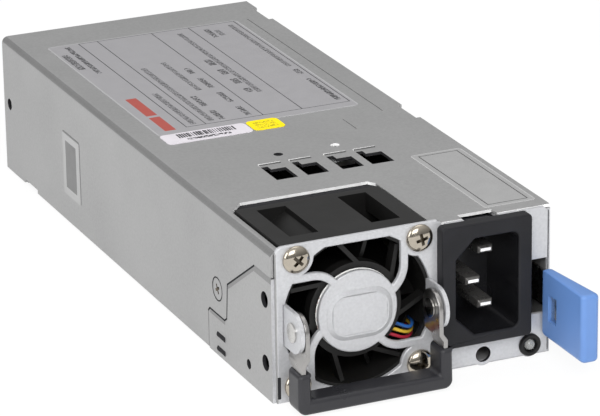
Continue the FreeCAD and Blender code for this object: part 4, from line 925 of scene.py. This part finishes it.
def punched_cover():
    """The cover with broken edges, bare cut edges with a painted highlight, painted shade in its openings
    and folds, and painted light and shade on its vent lips.
    """
    cover = soften(restated("top_cover", "punched_cover"), BROKEN_EDGE)
    dress(cover, "chassis", "zinc_sheet")
    # Cut edges painted near-white: bare steel with a painted highlight.
    repaint(cover, "cut_steel_and_glint", cut_edge)
    # Painted shade on the fronts of the vent lips.
    repaint(cover, "painted_shade_zinc", lambda face: vent_lip(face) and face.normal.y < -0.2)
    # Painted shade on the walls of the openings.
    repaint(cover, "gap_shadow", opening_in_shade)
    # Painted highlight on the tops of the vent lips and in the right small hole.
    repaint(cover, "cut_steel_and_glint", painted_glint)
    # Painted shade in the scribed lines and in the fold.
    repaint(cover, "painted_fold_shade", lambda face: scribed_line(face) or folded_corner(face))


def fan_gap_shade():
    """A thin dark sheet under the cover's edge behind the fan: painted shade where the inside would show."""
    # The dark sheet is painted shade behind the fan.
    film = block("fan_gap_shade", (FAN_LOW.x, FAN_HIGH.y + 0.15 * MM, ROOF - 1.15 * MM),
                 (FAN_HIGH.x + 1.0 * MM, FAN_HIGH.y + 7.5 * MM, ROOF - 0.87 * MM))
    dress(film, "chassis", "film", FINISHES["gap_shadow"])


def punched_tray():
    """The tray with broken edges, bright front edges as a painted highlight, and painted shade in its
    openings.
    """
    tray = soften(restated("base_tray", "punched_tray"), BROKEN_EDGE)
    dress(tray, "chassis", "tray_sheet")
    # Cut edges painted near-white: bare steel with a painted highlight.
    repaint(tray, "cut_steel_and_glint", cut_edge)
    # The front edges get the guard's brighter plate as a painted highlight on the cut edge.
    repaint(tray, "guard_sheet", tray_front)
    # Painted shade on the louvres and in the cheek's holes.
    repaint(tray, "gap_shadow", lambda face: raised_louvre(face) or cheek_hole(face))


def seam_strip(name, start, end, wide, proud=SKIN):
    """A narrow flat strip on the case's left side. Its ends are millimetres from the front and up."""
    deselect()
    (y0, z0), (y1, z1) = ((FRONT + along * MM, up * MM) for along, up in (start, end))
    turn = Matrix.Rotation(math.atan2(z1 - z0, y1 - y0), 3, "X") @ Matrix.Rotation(-math.pi / 2, 3, "Y")
    middle = (CASE_LOW.x - proud, (y0 + y1) / 2, (z0 + z1) / 2)
    bpy.ops.mesh.primitive_plane_add(size=1.0, location=middle, rotation=turn.to_euler())
    return added(name, (wide, math.hypot(y1 - y0, z1 - z0) + 0.5 * wide, 1.0))


def seam_shadow():
    """The dark line of the stepped seam between cover and tray."""
    corners = ((10.7, 31.7), (27.45, 20.9), (28.25, 11.7), (29.65, 10.8), (38.85, 10.8), (39.85, 9.85))
    strips = [seam_strip("seam_%d" % number, first, second, 0.45 * MM)
              for number, (first, second) in enumerate(zip(corners, corners[1:]))]
    dress(joined("seam_shadow", strips), "chassis", "tray_sheet", FINISHES["gap_shadow"])


def seam_step():
    """Painted shade of the joggle beside the seam. Each band stands a little further off than the last."""
    bands = (((1.3, 30.95), (11.0, 30.95), 1.6), ((11.35, 30.65), (27.0, 20.5), 1.1),
             ((38.4, 10.2), (29.7, 10.2), 1.1), ((39.85, 9.85), (39.85, 0.4), 0.26))
    strips = [seam_strip("step_%d" % number, first, second, wide * MM, (0.01 + 0.002 * number) * MM)
              for number, (first, second, wide) in enumerate(bands)]
    dress(joined("seam_step", strips), "chassis", "tray_sheet", FINISHES["painted_fold_shade"])


class SUPPLY_OT_guard(bpy.types.Operator):
    """Stamped guard and inlet panel with rolled edges."""
    bl_idname = "supply.guard"
    bl_label = "Guard and panel"

    def execute(self, context):
        stamped_guard()
        front_gap_shades()
        stamped_panel()
        hub_bead()
        return {"FINISHED"}


class SUPPLY_OT_sheets(bpy.types.Operator):
    """Cover and tray with the fine broken edge of punched sheet."""
    bl_idname = "supply.sheets"
    bl_label = "Cover and tray"

    def execute(self, context):
        punched_cover()
        fan_gap_shade()
        punched_tray()
        seam_shadow()
        seam_step()
        return {"FINISHED"}


# ---- Mouldings ----

def moulded_inlet():
    """The inlet with a rounded front rim and a glossier socket."""
    low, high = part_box("inlet_housing")
    inlet = smooth(roll(restated("inlet_housing", "moulded_inlet"), 0.5 * MM, 3, lies_at(Y, low.y)))
    dress(inlet, "chassis", "inlet_plastic")
    wall = 2.5 * MM
    repaint(inlet, "socket_plastic", lambda face: face.center.y > low.y + 0.6 * MM and all(
        low[axis] + wall < face.center[axis] < high[axis] - wall for axis in (X, Z)))


def rounded_slab(node, name, axis, radius, share):
    """A moulding with its two flat ends along an axis rounded, and the long edges between them."""
    low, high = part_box(node)
    rims = lies_at(axis, low[axis], high[axis])
    sides = runs_along(axis, share * (high[axis] - low[axis]))
    return smooth(roll(restated(node, name), radius, 5, lambda edge: rims(edge) or sides(edge)))


def tipped_pin(name):
    """An inlet pin with broken edges and a painted highlight on its tip."""
    pin = soften(restated("inlet_pin_" + name, "tipped_pin_" + name), 0.16 * MM)
    dress(pin, "chassis", "nickel", FINISHES["pin_nickel"])
    # Painted highlight on the pin's tip.
    repaint(pin, "cut_steel_and_glint", lambda face: face.normal.y < -0.9)


def drawn_lead(tone):
    """A fan lead, drawn a little thinner than the solid."""
    lead = restated("fan_lead_" + tone, "drawn_lead_" + tone)
    with editing(lead):
        bpy.ops.transform.shrink_fatten(value=-0.13 * MM)
    dress(shade_below(lead, 50), "chassis", tone + "_wire")


class SUPPLY_OT_mouldings(bpy.types.Operator):
    """Inlet, grip and tab with moulded radii, and the small pieces around them."""
    bl_idname = "supply.mouldings"
    bl_label = "Mouldings"

    def execute(self, context):
        moulded_inlet()
        grip = rounded_slab("handle_grip", "moulded_grip", Y, 1.05 * MM, 0.95)
        dress(grip, "handle", "grip_plastic")
        bail = soften(restated("handle_bail", "formed_bail"), 0.25 * MM, 3)
        dress(bail, "handle", "spring_steel", FINISHES["bail_steel"])
        tab = rounded_slab("latch_tab", "moulded_tab", Z, 1.1 * MM, 0.9)
        dress(tab, "latch", "blue_plastic")
        fan = soften(restated("fan_frame", "moulded_fan_frame"), 0.25 * MM)
        dress(fan, "chassis", "dark_plastic")
        for name in ("earth", "line", "neutral"):
            tipped_pin(name)
        for tone in ("blue", "yellow", "red"):
            drawn_lead(tone)
        return {"FINISHED"}


def lamp_dome():
    """Clear lamp with a flange at its foot and a domed tip."""
    low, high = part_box("status_led")
    radius, flange, foot = 1.45 * MM, 1.6 * MM, 0.8 * MM
    steps = [(flange, 0), (flange, foot), (radius, 0), (radius, high.y - low.y - 2.2 * MM)]
    steps += dome(radius, radius, 6, 0.5)
    piece = turned("lamp_dome", ((low.x + high.x) / 2, high.y, (low.z + high.z) / 2), steps, FORWARD, 32)
    dress(piece, "chassis", "clear_plastic")
    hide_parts("status_led")


def lamp_holder():
    """Round holder with a collar in front of the panel and a bore for the lamp."""
    lamp_low, lamp_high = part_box("status_led")
    low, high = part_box("led_holder")
    collar = (high.x - low.x) / 2
    steps = [(2.0 * MM, 0), (2.1 * MM, high.y - low.y - 0.9 * MM), (collar, 0), (collar, 0.6 * MM),
             (collar - 0.25 * MM, 0.3 * MM), (1.9 * MM, 0.0), (1.55 * MM, -0.5 * MM), (1.5 * MM, -4.0 * MM)]
    start = ((lamp_low.x + lamp_high.x) / 2, high.y, (lamp_low.z + lamp_high.z) / 2)
    piece = turned("lamp_holder", start, steps, FORWARD)
    dress(piece, "chassis", "dark_plastic")
    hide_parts("led_holder")


class SUPPLY_OT_lamp(bpy.types.Operator):
    """Domed lamp in its round holder."""
    bl_idname = "supply.lamp"
    bl_label = "Lamp"

    def execute(self, context):
        lamp_dome()
        lamp_holder()
        return {"FINISHED"}


# ---- Labels ----

def roof_label(name, corner, size, radius, thick, lift=0.0):
    """A label on the roof. Its corner is measured from the case's left side and the front."""
    low = Vector((CASE_LOW.x + corner[0] * MM, FRONT + corner[1] * MM, ROOF + lift))
    high = Vector((low.x + size[0] * MM, low.y + size[1] * MM, low.z + thick))
    return round_edges(block(name, low, high), Z, radius, 6)


def small_label(name, corner, size, settings):
    """A small label, which stands just off the roof and is thicker than the large ones."""
    return roof_label(name, corner, size, settings.corner, settings.thick + 0.04 * MM, 0.01 * MM)


class Ink:
    """Print on a label, as masks. A place on it is in millimetres from the label's own corner."""

    def __init__(self, weave, corner, across=X, along=Y):
        self.weave = weave
        self.corner = corner
        split = weave.add("SeparateXYZ")
        weave.join(weave.coordinates.outputs["Object"], split.inputs[0])
        self.across = weave.times(split.outputs[across], 1000.0)
        self.along = weave.times(split.outputs[along], 1000.0)
        self.total = None

    def area(self, left, front, right, rear):
        """1 inside a rectangle."""
        weave = self.weave
        u, v = self.corner
        inside_u = weave.reckon("COMPARE", self.across, u + (left + right) / 2, (right - left) / 2)
        inside_v = weave.reckon("COMPARE", self.along, v + (front + rear) / 2, (rear - front) / 2)
        return weave.times(inside_u, inside_v)

    def lay(self, mask, strength=1.0):
        """Add a mask to what is printed so far."""
        mask = self.weave.times(mask, strength) if strength != 1.0 else mask
        self.total = mask if self.total is None else self.weave.reckon("MAXIMUM", self.total, mask)

    def fill(self, left, front, right, rear, pattern, strength=1.0):
        """Print a pattern inside a rectangle."""
        self.lay(self.weave.times(self.area(left, front, right, rear), pattern), strength)

    def rule(self, left, front, right, rear, wide):
        """A ruled line between two points that lie level or upright."""
        half = wide / 2
        self.lay(self.area(left - half, front - half, right + half, rear + half))

    def border(self, left, front, right, rear, wide):
        """Four ruled lines round a rectangle."""
        self.rule(left, front, right, front, wide)
        self.rule(left, rear, right, rear, wide)
        self.rule(left, front, left, rear, wide)
        self.rule(right, front, right, rear, wide)

    def cells(self, step_u, step_v, seed):
        """A random number for each small cell, so that marks look printed."""
        weave = self.weave
        place = weave.add("CombineXYZ")
        weave.join(weave.reckon("FLOOR", weave.reckon("DIVIDE", self.across, step_u)), place.inputs[0])
        weave.join(weave.reckon("FLOOR", weave.reckon("DIVIDE", self.along, step_v)), place.inputs[1])
        place.inputs[2].default_value = seed
        noise = weave.add("TexWhiteNoise", noise_dimensions="3D")
        weave.join(place.outputs[0], noise.inputs["Vector"])
        return noise.outputs["Value"]

    def blots(self, step_u, step_v, seed, share):
        """The cells whose random number is over a share."""
        return self.weave.reckon("GREATER_THAN", self.cells(step_u, step_v, seed), share)

    def marks(self, strength=1.0, step=0.32, seed=1.0):
        """Small blots grouped like words: they read as print from afar and spell nothing."""
        weave = self.weave
        blots = self.blots(step, step * 0.8, seed, 0.26)
        words = self.blots(50, 4.3, seed + 3, 0.16)
        gaps = weave.reckon("FRACT", weave.reckon("DIVIDE", self.along, 1.25))
        gaps = weave.reckon("GREATER_THAN", gaps, 0.2)
        return weave.times(weave.times(blots, words), weave.times(gaps, strength))

    def bars(self, pitch, seed):
        """Upright bars of uneven width."""
        weave = self.weave
        phase = weave.reckon("FRACT", weave.reckon("DIVIDE", self.across, pitch))
        width = weave.reckon("MULTIPLY_ADD", self.cells(pitch, 50, seed), 0.6, 0.32)
        return weave.reckon("LESS_THAN", phase, width)


def roof_ink(weave, corner):
    """Print on a label whose corner is measured from the case's left side and the front."""
    return Ink(weave, (CASE_LOW.x / MM + corner[0], FRONT / MM + corner[1]))


def rating_text(weave, corner):
    """Ruled columns and rows of marks on the rating label."""
    ink = roof_ink(weave, corner)
    columns, right, front, rear, rule = (9.1, 14.5, 30.5, 41.5), 55.1, 3.8, 80.9, 0.26
    ink.border(columns[0], front, right, rear, rule)
    for column in columns[1:]:
        ink.rule(column, front, column, rear, rule)
    text = ink.marks()
    fine = ink.marks(0.85, 0.25, 5.0)
    rows = ((5.1, 54.4, 79.4, 1.5, text), (2.1, 59.4, 73.4, 1.9, text), (11.7, 5.2, 32.4, 1.6, fine),
            (16.9, 5.4, 53.4, 1.6, fine), (19.9, 5.4, 26.4, 1.7, text), (23.5, 29.4, 55.4, 1.5, fine),
            (27.3, 5.4, 48.4, 1.6, text), (35.1, 22.4, 52.4, 2.0, text), (37.3, 21.4, 77.4, 1.5, fine),
            (45.3, 69.4, 77.4, 1.6, text), (47.7, 70.4, 75.4, 1.5, fine), (52.9, 37.4, 78.4, 1.4, fine),
            (53.1, 6.4, 34.4, 1.6, text))
    for across, start, end, high, pattern in rows:
        ink.fill(across - high / 2, start, across + high / 2, end, pattern)
    return ink


class SUPPLY_OT_rating_label(bpy.types.Operator):
    """Large grey label with ruled columns and plain print."""
    bl_idname = "supply.rating_label"
    bl_label = "Rating label"

    def execute(self, context):
        settings = context.scene.supply_labels
        corner, size = (7.45, 88.1), (settings.rating_wide / MM, settings.rating_long / MM)
        piece = roof_label("rating_label", corner, size, settings.corner, settings.thick)
        weave = Weave("rating_label_stock")
        ink = rating_text(weave, corner)
        stripe = roof_ink(weave, corner)
        stripe.lay(stripe.area(3.0, 3.2, 6.0, 14.6))
        stripe.lay(stripe.area(3.0, 16.0, 6.0, 31.0))
        rim = roof_ink(weave, corner)
        rim.border(0, 0, *size, 0.8)
        layers = ((ink, (0.022, 0.022, 0.025)), (stripe, (0.34, 0.055, 0.04)), (rim, (0.36, 0.36, 0.365)))
        dress(piece, "chassis", "white_plastic", label_stock(weave, (0.280, 0.275, 0.286), layers))
        return {"FINISHED"}


def bar_label(settings):
    """Small white label with bars over a row of marks."""
    corner = (7.35, 81.0)
    piece = small_label("bar_label", corner, (23.5, 7.4), settings)
    weave = Weave("bar_label_stock")
    ink = roof_ink(weave, corner)
    ink.fill(4.2, 3.5, 20.0, 6.6, ink.bars(0.66, 2.0))
    ink.fill(5.8, 1.3, 17.8, 2.7, ink.blots(0.42, 0.3, 4.0, 0.3))
    material = label_stock(weave, (0.63, 0.60, 0.64), ((ink, (0.012, 0.012, 0.016)),), 0.35)
    dress(piece, "chassis", "white_plastic", material)


def yellow_label(settings):
    """Small yellow label with three rows of marks."""
    corner = (31.25, 81.3)
    piece = small_label("yellow_label", corner, (8.7, 7.4), settings)
    weave = Weave("yellow_label_stock")
    ink = roof_ink(weave, corner)
    blots = ink.blots(0.36, 0.3, 7.0, 0.5)
    for front, rear in ((1.2, 2.6), (3.1, 4.4), (4.8, 5.9)):
        ink.fill(1.5, front, 7.1, rear, blots, 0.7)
    material = label_stock(weave, (0.84, 0.68, 0.0), ((ink, (0.20, 0.18, 0.01)),), 0.4,
                           Specular_IOR_Level=0.12)
    dress(piece, "chassis", "yellow_plastic", material)


class SUPPLY_OT_small_labels(bpy.types.Operator):
    """White label with plain bars and a small yellow label."""
    bl_idname = "supply.small_labels"
    bl_label = "Small labels"

    def execute(self, context):
        settings = context.scene.supply_labels
        bar_label(settings)
        yellow_label(settings)
        return {"FINISHED"}


def front_label(thick):
    """Bare framed label on the roof near the inlet."""
    corner, size = (57.95, 5.2), (14.0, 41.4)
    piece = roof_label("front_label", corner, size, 1.0 * MM, thick)
    weave = Weave("front_label_stock")
    ink = roof_ink(weave, corner)
    ink.border(1.8, 1.7, 12.4, 39.9, 0.3)
    rim = roof_ink(weave, corner)
    rim.border(0, 0, *size, 0.7)
    layers = ((ink, (0.04, 0.04, 0.04)), (rim, (0.38, 0.38, 0.38)))
    dress(piece, "chassis", "white_plastic", label_stock(weave, (0.285, 0.285, 0.285), layers))


def side_label(thick):
    """Bare frosted label on the left side, with a darker field and a pale rim round it."""
    along, up, wide, high = 126.6, 7.85, 12.6, 17.8
    start = FRONT + along * MM
    plate = block("side_label", (CASE_LOW.x - 0.6 * thick, start, up * MM),
                  (CASE_LOW.x, start + wide * MM, (up + high) * MM))
    round_edges(plate, X, 0.9 * MM, 6)
    weave = Weave("side_label_stock")
    field, rim, edge = (Ink(weave, (FRONT / MM + along, up), Y, Z) for _ in range(3))
    field.lay(field.area(2.8, 2.15, 10.6, 15.35))
    rim.border(2.5, 1.95, 10.9, 15.65, 0.3)
    edge.lay(edge.area(-0.1, 17.25, 12.7, 17.85))
    edge.lay(edge.area(-0.1, -0.05, 0.4, 17.85))
    layers = ((field, (0.150, 0.150, 0.150)), (rim, (0.36, 0.36, 0.36)), (edge, (0.14, 0.14, 0.14)))
    dress(plate, "chassis", "white_plastic", label_stock(weave, (0.345, 0.345, 0.345), layers, 0.5))


class SUPPLY_OT_plain_labels(bpy.types.Operator):
    """Bare framed label near the inlet and the frosted one on the left side."""
    bl_idname = "supply.plain_labels"
    bl_label = "Plain labels"

    def execute(self, context):
        thick = context.scene.supply_labels.thick
        front_label(thick)
        side_label(thick)
        return {"FINISHED"}


class SUPPLY_OT_fan_label(bpy.types.Operator):
    """Round white label on the fan's motor base, behind the guard's disc."""
    bl_idname = "supply.fan_label"
    bl_label = "Fan label"

    def execute(self, context):
        radius = 10.4 * MM
        steps = [(radius, 0), (radius, 0.06 * MM), (radius - 0.2 * MM, 0.03 * MM)]
        disc = turned("fan_label", (FAN_X, FAN_LOW.y + 0.6 * MM, FAN_Z), steps, FORWARD, 64)
        weave = Weave("fan_label_stock")
        ink = Ink(weave, (FAN_X / MM, FAN_Z / MM), X, Z)
        ink.fill(-13.2, -8, -9.2, 8, ink.blots(0.5, 1.1, 9.0, 0.6), 0.6)
        material = label_stock(weave, (0.80, 0.80, 0.78), ((ink, (0.25, 0.08, 0.06)),), 0.4)
        dress(disc, "chassis", "white_plastic", material)
        return {"FINISHED"}


# ---- Stage ----

AIM = Vector((0, -0.04, 0.02))             # where every lamp points, in metres
FRONT_LAMP = Vector((-0.35, -1.05, 0.78))
CAMERA_PLACE = (-0.35518, -0.82989, 0.34858)
CAMERA_TURN = (69.5803, 0.8425, -24.1469)  # in degrees


def lamp(name, place, wide, high, power):
    """A soft rectangular lamp that points at the case."""
    data = bpy.data.lights.new(name, "AREA")
    data.shape = "RECTANGLE"
    data.size = wide
    data.size_y = high
    data.energy = power
    light = linked(name, data)
    light.location = place
    light.rotation_mode = "QUATERNION"
    light.rotation_quaternion = (AIM - Vector(place)).to_track_quat("-Z", "Y")
    return light


def paper_floor():
    """Pale floor that goes white to the eye and still holds a soft shadow."""
    weave = Weave("paper_floor")
    fibre = weave.noise(weave.placed(), 30, 2)
    cloth = weave.add("BsdfDiffuse")
    weave.join(weave.mix(weave.spread(fibre, 0, 1), (0.90, 0.90, 0.90), (0.93, 0.93, 0.93)),
               cloth.inputs["Color"])
    glow = weave.add("Emission")
    glow.inputs["Strength"].default_value = 1.0
    rays = weave.add("LightPath")
    seen = weave.reckon("MAXIMUM", rays.outputs["Is Glossy Ray"], rays.outputs["Is Transmission Ray"])
    seen = weave.reckon("MAXIMUM", rays.outputs["Is Camera Ray"], seen)
    return weave.blend(weave.times(seen, 0.88), cloth, glow)


def studio_world():
    """Surroundings that look white to the eye and light the case more from above."""
    weave = Weave("studio", world=True)
    seen = weave.add("Background")
    seen.inputs["Strength"].default_value = 1.0
    lit = weave.add("Background")
    split = weave.add("SeparateXYZ")
    weave.join(weave.coordinates.outputs["Generated"], split.inputs[0])
    weave.join(weave.spread(split.outputs["Z"], 0.16, 0.95, -0.1, 0.9), lit.inputs["Strength"])
    rays = weave.add("LightPath")
    direct = weave.reckon("MAXIMUM", rays.outputs["Is Camera Ray"], rays.outputs["Is Transmission Ray"])
    return weave.blend(direct, lit, seen)


def floor():
    """A wide floor just under the case."""
    deselect()
    bpy.ops.mesh.primitive_plane_add(size=12.0, location=(0, 0, min(CAD_BOX[0][2], 0.0) - 0.1 * MM))
    piece = added("floor")
    piece.data.materials.append(paper_floor())


def lamps(settings):
    """A front lamp that glints for three tenths of its power, and lamps at the side and above."""
    lamp("front_lamp", FRONT_LAMP, 0.9, 0.7, settings.key * 0.3)
    wash = lamp("front_wash", FRONT_LAMP, 0.9, 0.7, settings.key * 0.7)
    wash.visible_glossy = False
    lamp("side_lamp", (-1.1, -0.1, 0.5), 0.8, 0.8, settings.fill)
    lamp("top_lamp", (0.3, 0.3, 1.2), 0.9, 0.9, settings.fill * 0.38)


def camera(lens):
    """The camera, with a long lens."""
    data = bpy.data.cameras.new("camera")
    data.sensor_width = 36.0
    data.lens = lens
    data.clip_start = 0.01
    piece = linked("camera", data)
    piece.location = CAMERA_PLACE
    piece.rotation_euler = Euler([math.radians(angle) for angle in CAMERA_TURN], "XYZ")
    return piece


class SUPPLY_OT_stage(bpy.types.Operator):
    """Pale floor, soft lamps, white surroundings and the camera."""
    bl_idname = "supply.stage"
    bl_label = "Stage"

    def execute(self, context):
        settings = context.scene.supply_studio
        floor()
        context.scene.world = studio_world()
        lamps(settings)
        context.scene.camera = camera(settings.lens)
        context.scene.view_settings.view_transform = "Standard"
        return {"FINISHED"}


# ---- Add-on ----

OPERATORS = (
    SUPPLY_OT_finishes, SUPPLY_OT_guard, SUPPLY_OT_sheets, SUPPLY_OT_mouldings, SUPPLY_OT_fan_screws,
    SUPPLY_OT_case_screw, SUPPLY_OT_lamp, SUPPLY_OT_rating_label, SUPPLY_OT_small_labels,
    SUPPLY_OT_plain_labels, SUPPLY_OT_fan_label, SUPPLY_OT_stage,
)
GROUPS = {"supply_finishes": SupplyFinishes, "supply_labels": SupplyLabels,
          "supply_hardware": SupplyHardware, "supply_studio": SupplyStudio}


class SUPPLY_PT_panel(bpy.types.Panel):
    """Lists the settings and the pieces in the sidebar."""
    bl_idname = "SUPPLY_PT_panel"
    bl_label = "Server power supply"
    bl_space_type = "VIEW_3D"
    bl_region_type = "UI"
    bl_category = "Supply"

    def draw(self, context):
        for name, group in GROUPS.items():
            column = self.layout.column()
            for key in group.__annotations__:
                column.prop(getattr(context.scene, name), key)
        for operator in OPERATORS:
            self.layout.operator(operator.bl_idname)


CLASSES = (*GROUPS.values(), *OPERATORS, SUPPLY_PT_panel)


def register():
    """Add the settings, the operators and the panel."""
    for item in CLASSES:
        bpy.utils.register_class(item)
    for name, group in GROUPS.items():
        setattr(bpy.types.Scene, name, PointerProperty(type=group))


def unregister():
    """Take away what register added."""
    for name in GROUPS:
        delattr(bpy.types.Scene, name)
    for item in reversed(CLASSES):
        bpy.utils.unregister_class(item)


def main():
    """Run every operator in order."""
    register()
    for operator in OPERATORS:
        family, name = operator.bl_idname.split(".")
        getattr(getattr(bpy.ops, family), name)()


if __name__ == "__main__":
    main()
